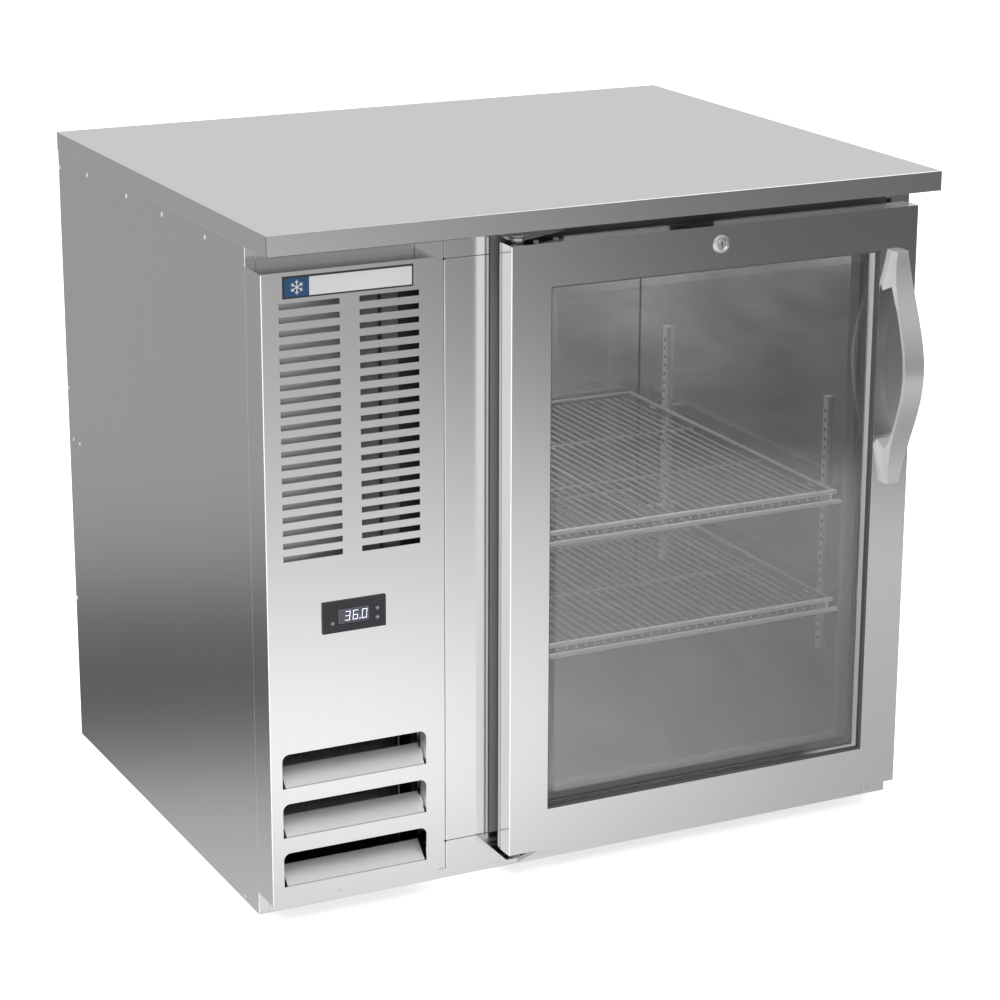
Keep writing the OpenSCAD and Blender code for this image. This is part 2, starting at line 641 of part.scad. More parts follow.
// Inner frame of the door: holds the glass and the gasket, with the pin bores in its corners.
module door_inner_frame() color([0.8, 0.8, 0.81]) difference() {
    union() {
        slab([door_x0 + sheet, door_x1 - sheet], [-door_proj + sheet, -door_proj + shell_d],
             [door_z0 + sheet, door_z1 - sheet]);
        slab([door_x0 + 0.8, door_x1 - 0.8], [-door_proj + shell_d, -door_proj + frame_d],
             [door_z0 + 0.8, door_z1 - 0.8]);
    }
    slab([glass_x[0] - sheet, glass_x[1] + sheet], [-door_proj, pane_front],
         [glass_z[0] - sheet, glass_z[1] + sheet]);
    slab([glass_x[0] - pane_edge, glass_x[1] + pane_edge],
         [pane_front, pane_front + 2 * pane_t + spacer_t],
         [glass_z[0] - pane_edge, glass_z[1] + pane_edge]);
    slab([glass_x[0] - 5, glass_x[1] + 5], [pane_front + 1, 0], [glass_z[0] - 5, glass_z[1] + 5]);
    bar_y(door_mid, -door_proj, -door_proj + 25.4, lock_z, 9.5);
    slab([door_mid - 9.5, door_mid + 43], [-door_proj + 25.4, -door_proj + 29.6],
         [lock_z - 9.5, door_z1 + 1]);
    for (z = [handle_z - handle_screw_dz, handle_z + handle_screw_dz]) {
        bar_y(handle_x, -door_proj, -door_proj + 12, z, handle_screw_r);
        bar_y(handle_x, -door_proj + 12, 0, z, 5);
    }
    bar_z(hinge_x, hinge_d, door_z0, door_z0 + 19, pin_r + running_gap);
    bar_z(hinge_x, hinge_d, door_z1 - 19, door_z1, pin_r + running_gap);
}

module glass_panes() color([0.7, 0.75, 0.76, 0.4])
    for (y = [pane_front, pane_front + pane_t + spacer_t])
        slab([glass_x[0] - pane_edge, glass_x[1] + pane_edge], [y, y + pane_t],
             [glass_z[0] - pane_edge, glass_z[1] + pane_edge]);

module glass_spacer() color([0.8, 0.81, 0.82])
    ring([glass_x[0] - pane_edge, glass_x[1] + pane_edge],
         [pane_front + pane_t, pane_front + pane_t + spacer_t],
         [glass_z[0] - pane_edge, glass_z[1] + pane_edge], 10);

module glazing_seal() color(black) {
    ring(glass_x, [-door_proj + 2, pane_front], glass_z, seal_w);
    ring([glass_x[0] - sheet, glass_x[1] + sheet], [-door_proj + 8, pane_front],
         [glass_z[0] - sheet, glass_z[1] + sheet], sheet);
}

// Magnetic gasket: a flat base on the door and a bellows that seats on the cabinet face.
module door_gasket() color(black) {
    ring([door_x0 + 1.5, door_x1 - 1.5], [-door_proj + frame_d, -door_proj + frame_d + 4],
         [door_z0 + 1.5, door_z1 - 1.5], 30);
    ring([door_x0 + 17.5, door_x1 - 17.5], [-door_proj + frame_d + 4, -0.3],
         [door_z0 + 17.5, door_z1 - 17.5], 14);
}

// Reach and half width of the handle at a height, from -1 to 1 along its length.
function handle_reach(u) =
    handle_end_reach + (handle_mid_reach - handle_end_reach) * pow(cos(90 * u), 2);
function handle_half_w(u) = 14.5 - 6.5 * pow(u, 4);
handle_steps = 24;
handle_u = [for (i = [0:handle_steps]) -1 + 2 * i / handle_steps];
gap_u = [for (u = handle_u) if (abs(u) < 0.62) u];

// Half width of the handle's feet at the door, from its ends to where the finger gap starts.
foot_w = [9.6, 12.5, 15.6, 18.8, 22, 13.7];

// Slice of a foot: wide at the door, and as wide as the bow at its front.
module foot_slice(side, step) {
    u = side * (1 - 2 * step / handle_steps);
    translate([handle_x, front - door_proj, handle_z + u * handle_l / 2 - (u > 0 ? 0.1 : 0)])
        linear_extrude(0.1)
            polygon([[-foot_w[step], 0], [-handle_half_w(u), -handle_reach(u)],
                     [handle_half_w(u), -handle_reach(u)], [foot_w[step], 0]]);
}

// Bow handle: the side outline and the front outline meet, the feet spread at the door, and
// a finger gap follows the bow.
module door_handle() color([0.8, 0.8, 0.8]) difference() {
    union() {
        intersection() {
            translate([handle_x - 20, front - door_proj, handle_z])
                rotate([90, 0, 90]) linear_extrude(40)
                    polygon(concat([[0, -handle_l / 2]],
                        [for (u = handle_u) [-handle_reach(u), u * handle_l / 2]],
                        [[0, handle_l / 2]]));
            translate([handle_x, front - door_proj, handle_z]) rotate([90, 0, 0])
                linear_extrude(60)
                    polygon(concat(
                        [for (u = handle_u) [handle_half_w(u), u * handle_l / 2]],
                        [for (i = [handle_steps:-1:0])
                            [-handle_half_w(handle_u[i]), handle_u[i] * handle_l / 2]]));
        }
        for (side = [-1, 1], step = [0:len(foot_w) - 2]) hull() {
            foot_slice(side, step);
            foot_slice(side, step + 1);
        }
    }
    translate([handle_x - 25, front - door_proj, handle_z]) rotate([90, 0, 90])
        linear_extrude(50)
            polygon(concat([[1, -92], [-5, -97], [-12.5, -104]],
                [for (u = gap_u) [bow_t - handle_reach(u), u * handle_l / 2]],
                [[-12.5, 104], [-5, 97], [1, 92]]));
    for (z = [handle_z - handle_screw_dz, handle_z + handle_screw_dz])
        bar_y(handle_x, -door_proj - 10, -door_proj + 1, z, handle_screw_r);
}

module handle_screws() color(dark_steel)
    for (z = [handle_z - handle_screw_dz, handle_z + handle_screw_dz]) {
        bar_y(handle_x, -door_proj - 10, -door_proj + 12, z, handle_screw_r);
        bar_y(handle_x, -door_proj + 12, -door_proj + 15.5, z, 4.5);
    }

// Barrel of the lock, fixed in the door's top rail.
module lock_housing() color([0.8, 0.8, 0.8]) difference() {
    union() {
        bar_y(door_mid, -door_proj - 3, -door_proj, lock_z, lock_r);
        bar_y(door_mid, -door_proj, -door_proj + 25.4, lock_z, 9.5);
    }
    bar_y(door_mid, -door_proj - 4, -door_proj + 26, lock_z, plug_r + running_gap);
}

module lock_plug() color([0.7, 0.7, 0.7]) difference() {
    bar_y(door_mid, -door_proj - 2.6, -door_proj + 26, lock_z, plug_r);
    slab([door_mid - 0.9, door_mid + 0.9], [-door_proj - 3, -door_proj + 8],
         [lock_z - 3.6, lock_z + 3.6]);
}

module lock_cam() color(dark_steel) {
    slab([door_mid - 6, door_mid + 40], [-door_proj + 26, -door_proj + 29],
         [lock_z - 6, lock_z + 6]);
}

base_pan();
base_rail();
side_panel_left();
side_panel_right();
back_panel();
top_rail();
stile_panel();
compartment_wall();
breaker_frame();
inner_liner();
foam_body();
worktop();
worktop_core();
grille_cover();
louver_blades();
panel_screws();
nameplate();
controller_case();
display_lens();
button_up();
button_down();
button_set();
unit_base();
compressor();
compressor_grommets();
condenser_coil();
fan_shroud();
condenser_fan_motor();
condenser_fan();
refrigerant_lines();
electrical_box();
condensate_pan();
evaporator_housing();
evaporator_coil();
evaporator_fan_motor();
evaporator_fan();
pilaster_front_left();
pilaster_front_right();
pilaster_rear_left();
pilaster_rear_right();
shelf_clips();
shelf_upper();
shelf_lower();
light_strip();
hinge_bracket_top();
hinge_bracket_bottom();
hinge_pins();
lock_strike();
cord_gland();
door_shell();
door_inner_frame();
glass_panes();
glass_spacer();
glazing_seal();
door_gasket();
door_handle();
handle_screws();
lock_housing();
lock_plug();
lock_cam();
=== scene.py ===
"""Looks of an under counter fridge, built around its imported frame.

Lengths are in metres, in the frame's own axes: X to the right, Y to the back and Z up.
"""

import json
import math

import bmesh  # noqa: E402
import bpy  # noqa: E402
from mathutils import Matrix, Vector  # noqa: E402


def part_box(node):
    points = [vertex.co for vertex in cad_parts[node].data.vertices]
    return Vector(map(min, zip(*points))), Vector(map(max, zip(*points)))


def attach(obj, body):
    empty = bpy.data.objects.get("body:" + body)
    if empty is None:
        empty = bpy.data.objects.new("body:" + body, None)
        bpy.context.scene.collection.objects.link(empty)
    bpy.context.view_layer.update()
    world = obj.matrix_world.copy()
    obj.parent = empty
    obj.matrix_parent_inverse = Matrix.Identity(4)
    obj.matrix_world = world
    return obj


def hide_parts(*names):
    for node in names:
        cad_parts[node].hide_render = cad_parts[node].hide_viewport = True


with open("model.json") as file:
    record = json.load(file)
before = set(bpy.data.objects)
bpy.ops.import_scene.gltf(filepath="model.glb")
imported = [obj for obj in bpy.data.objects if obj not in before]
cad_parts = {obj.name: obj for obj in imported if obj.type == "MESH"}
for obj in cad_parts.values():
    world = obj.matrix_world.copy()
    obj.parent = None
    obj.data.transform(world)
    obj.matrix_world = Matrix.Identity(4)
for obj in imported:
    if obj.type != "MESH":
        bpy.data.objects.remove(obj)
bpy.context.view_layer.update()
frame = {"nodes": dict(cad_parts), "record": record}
nodes = frame["nodes"]
scene = bpy.context.scene
scene.view_settings.view_transform = "Standard"


# ---------------------------------------------------------------- camera and studio

CAMERA_PLACE = (-1.6862, -3.4772, 1.5656)
CAMERA_YAW = 0.4608
CAMERA_PITCH = -0.2977
CAMERA_ROLL = 0.0031
CAMERA_LENS = 107.41


def make_camera():
    """Camera at a standing person's eye, left of the front and looking down on the top."""
    data = bpy.data.cameras.new("camera")
    data.sensor_width = 36.0
    data.lens = CAMERA_LENS
    camera = bpy.data.objects.new("camera", data)
    yaw = Matrix.Rotation(-CAMERA_YAW, 4, "Z")
    pitch = Matrix.Rotation(math.pi / 2 + CAMERA_PITCH, 4, "X")
    roll = Matrix.Rotation(CAMERA_ROLL, 4, "Z")
    camera.matrix_world = Matrix.Translation(CAMERA_PLACE) @ yaw @ pitch @ roll
    scene.collection.objects.link(camera)
    scene.camera = camera


def shader(tree, kind, inputs=(), **settings):
    """Adds a shader node, sets it up and joins or fills its inputs."""
    made = tree.nodes.new("ShaderNode" + kind)
    for name, value in settings.items():
        setattr(made, name, value)
    for name, value in dict(inputs).items():
        if isinstance(value, bpy.types.NodeSocket):
            tree.links.new(value, made.inputs[name])
        else:
            made.inputs[name].default_value = value
    return made


def ramp(tree, value, stops):
    """Grey levels along a value that runs from 0 to 1, given as (place, grey) pairs."""
    made = shader(tree, "ValToRGB", {"Fac": value})
    points = made.color_ramp.elements
    while len(points) < len(stops):
        points.new(0.5)
    for point, (place, grey) in zip(points, stops):
        point.position = place
        point.color = (grey, grey, grey, 1.0)
    return made.outputs["Color"]


def fade(tree, value, low, high, kind="SMOOTHSTEP"):
    """0 where the value is under low and 1 where it is over high."""
    inputs = {"Value": value, "From Min": low, "From Max": high}
    return shader(tree, "MapRange", inputs, interpolation_type=kind).outputs["Result"]


def mix(tree, share, first, second, blend="MIX"):
    """Mix of two colours."""
    made = shader(tree, "Mix", data_type="RGBA", blend_type=blend)
    for socket, value in (("Factor", share), ("A", first), ("B", second)):
        target = next(s for s in made.inputs if s.name == socket and s.enabled)
        if isinstance(value, bpy.types.NodeSocket):
            tree.links.new(value, target)
        else:
            target.default_value = value
    return next(s for s in made.outputs if s.enabled)


# Greys of the room that the steel reflects, from low down (0) to level (1). The front has
# three bands from left to right, the side one, and the corner between them is white.
BAND_LOW = -0.45
BAND_HIGH = -0.15
ENV_LEFT = [(0.0, 0.75), (0.12, 0.8), (0.17, 0.98), (0.21, 1.3), (0.25, 1.38), (0.29, 1.3),
            (0.35, 1.07), (0.44, 0.81), (0.52, 0.7), (0.61, 0.58), (0.72, 0.46), (1.0, 0.46)]
ENV_MIDDLE = [(0.0, 0.6), (0.12, 0.64), (0.19, 0.78), (0.23, 0.96), (0.28, 1.08), (0.33, 1.04),
              (0.4, 0.91), (0.52, 0.71), (0.6, 0.5), (0.68, 0.34), (0.78, 0.26), (1.0, 0.26)]
ENV_RIGHT = [(0.0, 0.45), (0.2, 0.48), (0.33, 0.52), (0.43, 0.62), (0.51, 0.76), (0.55, 0.64),
             (0.59, 0.16), (0.7, 0.12), (1.0, 0.12)]
ENV_SIDE = [(0.0, 0.64), (0.13, 0.55), (0.21, 0.45), (0.27, 0.2), (0.33, 0.1), (0.4, 0.16),
            (0.47, 0.32), (0.55, 0.38), (1.0, 0.38)]
ENV_CORNER = (1.08, 1.08, 1.08, 1.0)
ENV_GROUND = (0.22, 0.22, 0.22, 1.0)
# Greys from level (0) up to straight overhead (1): of the whole room, and of its front wall.
SKY = [(0.0, 0.62), (0.3, 0.68), (0.5, 0.85), (1.0, 1.15)]
SKY_FRONT = [(0.0, 0.3), (0.3, 0.38), (0.6, 0.8), (1.0, 1.15)]


def make_studio():
    """A pale room: white above, with soft darker walls low down that the steel reflects."""
    world = bpy.data.worlds.new("studio")
    scene.world = world
    world.use_nodes = True
    tree = world.node_tree
    way = shader(tree, "TexCoord").outputs["Generated"]
    axes = shader(tree, "SeparateXYZ", {"Vector": way}).outputs
    low = fade(tree, axes["Z"], BAND_LOW, BAND_HIGH, "LINEAR")
    left, middle, right, side = (
        ramp(tree, low, stops) for stops in (ENV_LEFT, ENV_MIDDLE, ENV_RIGHT, ENV_SIDE))
    front = mix(tree, fade(tree, axes["X"], 0.385, 0.43, "LINEAR"), left, middle)
    front = mix(tree, fade(tree, axes["X"], 0.43, 0.51, "LINEAR"), front, right)
    corner = mix(tree, fade(tree, axes["X"], -0.62, -0.52), side, ENV_CORNER)
    corner = mix(tree, fade(tree, axes["Y"], -0.58, -0.5), corner, ENV_CORNER)
    front = mix(tree, fade(tree, axes["X"], 0.05, 0.33), corner, front)
    below = mix(tree, fade(tree, axes["Y"], -0.2, 0.2), front, side)
    high = fade(tree, axes["Z"], 0.0, 1.0, "LINEAR")
    above = mix(tree, fade(tree, axes["Y"], -0.3, 0.1), ramp(tree, high, SKY_FRONT),
                ramp(tree, high, SKY))
    below = mix(tree, fade(tree, axes["Z"], -0.85, -0.5), ENV_GROUND, below)
    room = mix(tree, fade(tree, axes["Z"], -0.16, 0.1), below, above)
    light = tree.nodes["Background"]
    tree.links.new(room, light.inputs["Color"])


def make_lamp(name, place, target, size, power):
    """One square soft box aimed at a point."""
    data = bpy.data.lights.new(name, "AREA")
    data.shape = "SQUARE"
    data.size = size
    data.energy = power
    lamp = bpy.data.objects.new(name, data)
    lamp.location = place
    aim = Vector(target) - lamp.location
    lamp.rotation_euler = aim.to_track_quat("-Z", "Y").to_euler()
    scene.collection.objects.link(lamp)
    return lamp


LAMP_TARGET = (0.0, 0.0, 0.4)
INSIDE_POWER = 2.0
# How far left of and behind the liner's middle the inside lamp hangs.
INSIDE_SHIFT = 0.07


def make_lights():
    """Two soft boxes over the object, and the glow of the light strip inside it."""
    make_lamp("key", (-1.6, -1.8, 3.2), LAMP_TARGET, 2.4, 60.0)
    make_lamp("fill", (2.2, 0.5, 3.0), LAMP_TARGET, 2.0, 25.0)
    strip_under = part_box("light_strip")[0].z
    liner_lo, liner_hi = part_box("inner_liner")
    spot = ((liner_lo.x + liner_hi.x) / 2 - INSIDE_SHIFT,
            (liner_lo.y + liner_hi.y) / 2 + INSIDE_SHIFT)
    inside = make_lamp("inside", (*spot, strip_under - 0.002), (*spot, 0.0), 0.4,
                       INSIDE_POWER)
    inside.visible_camera = False


def new_material(name):
    """An empty material with its tree and its main shader."""
    made = bpy.data.materials.new(name)
    made.use_nodes = True
    return made, made.node_tree, made.node_tree.nodes["Principled BSDF"]


def place_of(tree, scale=(1.0, 1.0, 1.0)):
    """The surface point in the frame's axes, stretched by scale."""
    point = shader(tree, "TexCoord").outputs["Object"]
    return shader(tree, "Mapping", {"Vector": point, "Scale": scale}).outputs["Vector"]


def noise(tree, scale, detail=2.0, rough=0.5, stretch=(1.0, 1.0, 1.0)):
    """A noise value over the frame's axes."""
    inputs = {"Vector": place_of(tree, stretch), "Scale": scale, "Detail": detail,
              "Roughness": rough}
    return shader(tree, "TexNoise", inputs).outputs["Fac"]


FLOOR_HALF = 20.0


def make_floor():
    """Plain pale floor under the object."""
    mesh = bpy.data.meshes.new("floor")
    half = FLOOR_HALF
    corners = [(-half, -half, 0.0), (half, -half, 0.0), (half, half, 0.0), (-half, half, 0.0)]
    mesh.from_pydata(corners, [], [(0, 1, 2, 3)])
    floor = bpy.data.objects.new("floor", mesh)
    scene.collection.objects.link(floor)
    made, tree, surface = new_material("floor")
    shade = ramp(tree, noise(tree, 1.5), [(0.0, 0.9), (1.0, 0.93)])
    tree.links.new(shade, surface.inputs["Base Color"])
    surface.inputs["Emission Color"].default_value = (1.0, 1.0, 1.0, 1.0)
    surface.inputs["Emission Strength"].default_value = 0.6
    surface.inputs["Roughness"].default_value = 0.9
    surface.inputs["Specular IOR Level"].default_value = 0.1
    mesh.materials.append(made)
    floor.visible_glossy = False


make_camera()
make_studio()
make_lights()
make_floor()


# ---------------------------------------------------------------- materials


def tint(colour, factor):
    """The colour, lighter or darker."""
    return tuple(min(1.0, c * factor) for c in colour) + (1.0,)


def bump(tree, surface, height, strength, distance):
    """Small relief from a height value."""
    inputs = {"Height": height, "Strength": strength, "Distance": distance}
    made = shader(tree, "Bump", inputs)
    tree.links.new(made.outputs["Normal"], surface.inputs["Normal"])


def spread(tree, value, low, high):
    """A value from 0 to 1 spread from low to high."""
    inputs = {"Value": value, "To Min": low, "To Max": high}
    return shader(tree, "MapRange", inputs).outputs["Result"]


def steel(name, colour, rough, grain, lines=0.06, clouds=0.03):
    """Brushed sheet: fine lines along the grain and slow clouds of polish."""
    made, tree, surface = new_material(name)
    surface.inputs["Metallic"].default_value = 1.0
    streaks = noise(tree, 1.0, 6.0, 0.65, grain)
    haze = noise(tree, 3.0, 3.0)
    shade = mix(tree, streaks, tint(colour, 1.0 - lines), tint(colour, 1.0 + lines))
    shade = mix(tree, haze, shade, tint(colour, 1.0))
    tree.links.new(shade, surface.inputs["Base Color"])
    total = shader(tree, "Math", operation="MULTIPLY_ADD")
    tree.links.new(haze, total.inputs[0])
    total.inputs[1].default_value = clouds
    tree.links.new(spread(tree, streaks, rough - 0.03, rough + 0.03), total.inputs[2])
    tree.links.new(total.outputs["Value"], surface.inputs["Roughness"])
    bump(tree, surface, streaks, 0.05, 0.00004)
    return made


def liner(name):
    """Mill finish sheet: smudges along the wall over a blotchy, half mirroring surface, and a
    painted glow that stands in for the light strip's reflection.
    """
    made, tree, surface = new_material(name)
    smudges = noise(tree, 1.0, 5.0, 0.6, (5.0, 5.0, 16.0))
    spots = noise(tree, 60.0, 3.0, 0.6)
    shade = mix(tree, spread(tree, smudges, -0.6, 1.6), (0.55, 0.55, 0.55, 1.0),
                (0.85, 0.85, 0.85, 1.0))
    shade = mix(tree, spread(tree, spots, 0.0, 0.22), shade, (0.4, 0.4, 0.4, 1.0))
    tree.links.new(shade, surface.inputs["Base Color"])
    tree.links.new(spread(tree, smudges, 0.1, 0.34), surface.inputs["Roughness"])
    surface.inputs["Metallic"].default_value = 0.85
    bump(tree, surface, spots, 0.05, 0.0001)
    # Painted reflection: a glow that rises from the front towards the back and from mid height
    # up, varied with the smudges.
    axes = shader(tree, "SeparateXYZ", {"Vector": place_of(tree)}).outputs
    lit = {0: fade(tree, axes["Y"], -0.05, 0.262), 1: fade(tree, axes["Z"], 0.38, 0.62)}
    painted_glow = {0: shader(tree, "Math", lit, operation="MULTIPLY").outputs["Value"],
             1: spread(tree, smudges, 0.06, 0.22)}
    surface.inputs["Emission Color"].default_value = (0.9, 0.9, 0.9, 1.0)
    tree.links.new(shader(tree, "Math", painted_glow, operation="MULTIPLY").outputs["Value"],
                   surface.inputs["Emission Strength"])
    return made


def plain(name, colour, rough, metallic=0.0, scale=400.0, relief=0.00003):
    """Moulded or painted surface with a fine even texture."""
    made, tree, surface = new_material(name)
    grain = noise(tree, scale, 2.0)
    shade = mix(tree, noise(tree, 8.0, 3.0), tint(colour, 0.93), tint(colour, 1.07))
    tree.links.new(shade, surface.inputs["Base Color"])
    tree.links.new(spread(tree, grain, rough - 0.05, rough + 0.05), surface.inputs["Roughness"])
    surface.inputs["Metallic"].default_value = metallic
    bump(tree, surface, grain, 0.15, relief)
    return made


def see_through(name, clearness, rough, share_of):
    """Surface that mirrors a share of the light and lets the rest straight through."""
    made, tree, surface = new_material(name)
    tree.nodes.remove(surface)
    colour = (clearness, clearness, clearness, 1.0)
    clear = shader(tree, "BsdfTransparent", {"Color": colour})
    mirror = shader(tree, "BsdfAnisotropic", {"Roughness": rough})
    join = shader(tree, "MixShader")
    tree.links.new(share_of(tree), join.inputs[0])
    tree.links.new(clear.outputs[0], join.inputs[1])
    tree.links.new(mirror.outputs[0], join.inputs[2])
    tree.links.new(join.outputs[0], tree.nodes["Material Output"].inputs["Surface"])
    return made


def glass(name):
    """Clear pane: each face mirrors as glass does."""
    return see_through(name, 0.978, 0.02,
                       lambda tree: shader(tree, "Fresnel", {"IOR": 1.5}).outputs["Fac"])


def film(name):
    """Film that mirrors about an eighth of the light."""
    return see_through(name, 0.98, 0.08,
                       lambda tree: spread(tree, noise(tree, 4.0, 3.0), 0.10, 0.14))


def glow(name, colour, power):
    """Surface that gives off light: the light strip and the lit digits, and painted glow on the
    shelf rods and the standards.
    """
    made, tree, surface = new_material(name)
    surface.inputs["Base Color"].default_value = tint(colour, 1.0)
    surface.inputs["Emission Color"].default_value = tint(colour, 1.0)
    tree.links.new(spread(tree, noise(tree, 30.0), power * 0.9, power * 1.1),
                   surface.inputs["Emission Strength"])
    return made


def spacer(name):
    """Spacer between the panes: a painted glow lights its right leg, the others stay darker."""
    made, tree, surface = new_material(name)
    across = shader(tree, "SeparateXYZ", {"Vector": place_of(tree)}).outputs["X"]
    surface.inputs["Base Color"].default_value = (0.5, 0.505, 0.51, 1.0)
    surface.inputs["Emission Color"].default_value = (0.8, 0.81, 0.82, 1.0)
    # Emission rising towards the right leg: painted highlight.
    tree.links.new(spread(tree, fade(tree, across, 0.30, 0.34), 0.02, 0.45),
                   surface.inputs["Emission Strength"])
    return made


def slot_colour(name):
    """Base colour that the record gives a slot."""
    return next(m["base_color"][:3] for m in frame["record"]["materials"] if m["slot"] == name)


GRAIN_X = (4.0, 900.0, 900.0)
GRAIN_Z = (900.0, 900.0, 4.0)
GRAIN_NONE = (60.0, 60.0, 60.0)
METALS = ("lock_metal", "door_frame", "coil_fins", "copper", "plate")
SLOT_LOOKS = {
    "stainless": lambda n: steel(n, (0.78, 0.78, 0.785), 0.11, GRAIN_Z, 0.03),
    "stainless_top": lambda n: steel(n, (0.80, 0.80, 0.805), 0.17, GRAIN_X, 0.03),
    "galvanised": lambda n: steel(n, (0.5, 0.51, 0.52), 0.4, GRAIN_NONE),
    "liner_steel": liner,
    "glass": glass,
    "light": lambda n: glow(n, (0.95, 0.97, 1.0), 3.0),
    "handle_metal": lambda n: plain(n, (0.74, 0.74, 0.745), 0.3, 0.88),
}


def slot_look(name):
    """A slot's own look, or a plain metal or moulded surface in its colour."""
    if name in SLOT_LOOKS:
        return SLOT_LOOKS[name](name)
    if name in METALS:
        return plain(name, slot_colour(name), 0.3, 1.0)
    return plain(name, slot_colour(name), 0.45)


slots = {m["slot"]: slot_look(m["slot"]) for m in frame["record"]["materials"]}

for part in frame["record"]["subparts"]:
    node = nodes[part["node"]]
    if not node.material_slots:
        node.data.materials.append(slots[part["material_slot"]])
    for place in node.material_slots:
        place.material = slots[part["material_slot"]]

# Looks of single pieces.
# Shelf rods and wire ends glow a little: painted light. The back, side and cross rods and the
# long wires are a darker copy of the same coating: painted shade.
rod_painted_glow = glow("rod_painted_glow", (0.85, 0.86, 0.86), 0.2)
wire_painted_shade = plain("wire_painted_shade", (0.27, 0.275, 0.275), 0.4)
# The shelf standards glow a little: painted light.
rack_painted_glow = glow("rack_painted_glow", (0.42, 0.425, 0.43), 0.13)
blade_look = plain("blade_look", (0.6, 0.605, 0.61), 0.4, 0.6)
badge_pale = plain("badge_pale", (0.5, 0.505, 0.51), 0.4)
badge_blue = plain("badge_blue", (0.006, 0.05, 0.13), 0.3)
duct_look = plain("duct_look", (0.3, 0.3, 0.305), 0.6)
filter_look = plain("filter_look", (0.16, 0.16, 0.165), 0.7)
# Pale lines that stand in for the light on the front edges: painted highlights.
edge_painted_highlight = plain("edge_painted_highlight", (0.93, 0.93, 0.93), 0.35)
# Dark sheet under the worktop's overhang: painted shade.
overhang_painted_shade = plain("overhang_painted_shade", (0.1, 0.1, 0.1), 0.5)
# The top hinge bracket gets a darker copy of the steel: painted shade.
hinge_painted_shade = steel("hinge_painted_shade", (0.42, 0.42, 0.43), 0.2, GRAIN_X)
digit_light = glow("digit_light", (0.80, 0.83, 1.0), 0.7)
window_look = plain("window_look", (0.06, 0.06, 0.075), 0.12)
mark_look = plain("mark_look", (0.62, 0.63, 0.64), 0.4)
indicator_look = plain("indicator_look", (0.028, 0.012, 0.014), 0.15)
# The walls of the handle's finger gap are a darker copy of its metal: painted shade.
gap_painted_shade = plain("gap_painted_shade", (0.4, 0.4, 0.405), 0.4, 1.0)
# The handle's side faces are a more diffuse copy of its metal that looks lighter: painted light.
flank_painted_light = plain("flank_painted_light", (0.6, 0.6, 0.605), 0.4, 0.25)
film_look = film("film_look")
seal_look = plain("seal_look", (0.07, 0.07, 0.075), 0.5)
breaker_look = plain("breaker_look", (0.2, 0.2, 0.205), 0.4)
# The pane spacer, with a painted highlight on its right leg.
spacer_painted_glow = spacer("spacer_painted_glow")

NODE_LOOKS = {
    "hinge_bracket_top": hinge_painted_shade, "glass_spacer": spacer_painted_glow,
    "glazing_seal": seal_look, "breaker_frame": breaker_look,
}
for name, look in NODE_LOOKS.items():
    nodes[name].material_slots[0].material = look


# ---------------------------------------------------------------- mesh tools


def add_box(bm, lo, hi):
    """Box between two corners."""
    made = bmesh.ops.create_cube(bm, size=1.0)["verts"]
    low, high = Vector(lo), Vector(hi)
    centre, size = (low + high) / 2, high - low
    for vertex in made:
        vertex.co = centre + Vector(a * b for a, b in zip(vertex.co, size))


def add_rings(bm, rings, closed=False):
    """Skin over rings of points; the ends are capped unless the rings close on themselves."""
    loops = [[bm.verts.new(p) for p in ring] for ring in rings]
    count = len(loops[0])
    pairs = list(zip(loops, loops[1:] + loops[:1])) if closed else list(zip(loops, loops[1:]))
    for first, second in pairs:
        for i in range(count):
            k = (i + 1) % count
            bm.faces.new((first[i], first[k], second[k], second[i]))
    if not closed:
        bm.faces.new(list(reversed(loops[0])))
        bm.faces.new(loops[-1])


def add_tube(bm, path, radius, sides=12):
    """Round bar along a path, with lightly rounded ends."""
    points = [Vector(p) for p in path]
    ends = [(points[0] - points[1]).normalized(), (points[-1] - points[-2]).normalized()]
    tip = radius * 0.3
    points = [points[0] - ends[0] * tip] + points[1:-1] + [points[-1] - ends[1] * tip]
    side = None
    rings = []
    for i, point in enumerate(points):
        before, after = points[max(i - 1, 0)], points[min(i + 1, len(points) - 1)]
        along = (after - before).normalized()
        if side is None:
            side = along.orthogonal().normalized()
        side = (side - along * side.dot(along)).normalized()
        other = along.cross(side)
        turns = [2 * math.pi * k / sides for k in range(sides)]
        rings.append([point + (side * math.cos(a) + other * math.sin(a)) * radius
                      for a in turns])
        if i in (0, len(points) - 1):
            cap = [point + (v - point) * 0.7 + ends[min(i, 1)] * tip for v in rings[-1]]
            rings.insert(0, cap) if i == 0 else rings.append(cap)
    add_rings(bm, rings)


def add_lathe(bm, profile, base, axis, sides=40):
    """Turned shape: profile is (radius, distance along the axis) from base."""
    along = Vector(axis).normalized()
    side = along.orthogonal().normalized()
    other = along.cross(side)
    rings = []
    for radius, height in profile:
        centre = Vector(base) + along * height
        rings.append([centre + (side * math.cos(a) + other * math.sin(a)) * max(radius, 1e-5)
                      for a in (2 * math.pi * k / sides for k in range(sides))])
    add_rings(bm, rings)


def add_plate(bm, outline, axis, low, high):
    """Flat outline, given in the two other axes in order, extruded along an axis."""
    k = "xyz".index(axis)

    def lift(point, height):
        full = list(point)
        full.insert(k, height)
        return full

    add_rings(bm, [[lift(p, low) for p in outline], [lift(p, high) for p in outline]])


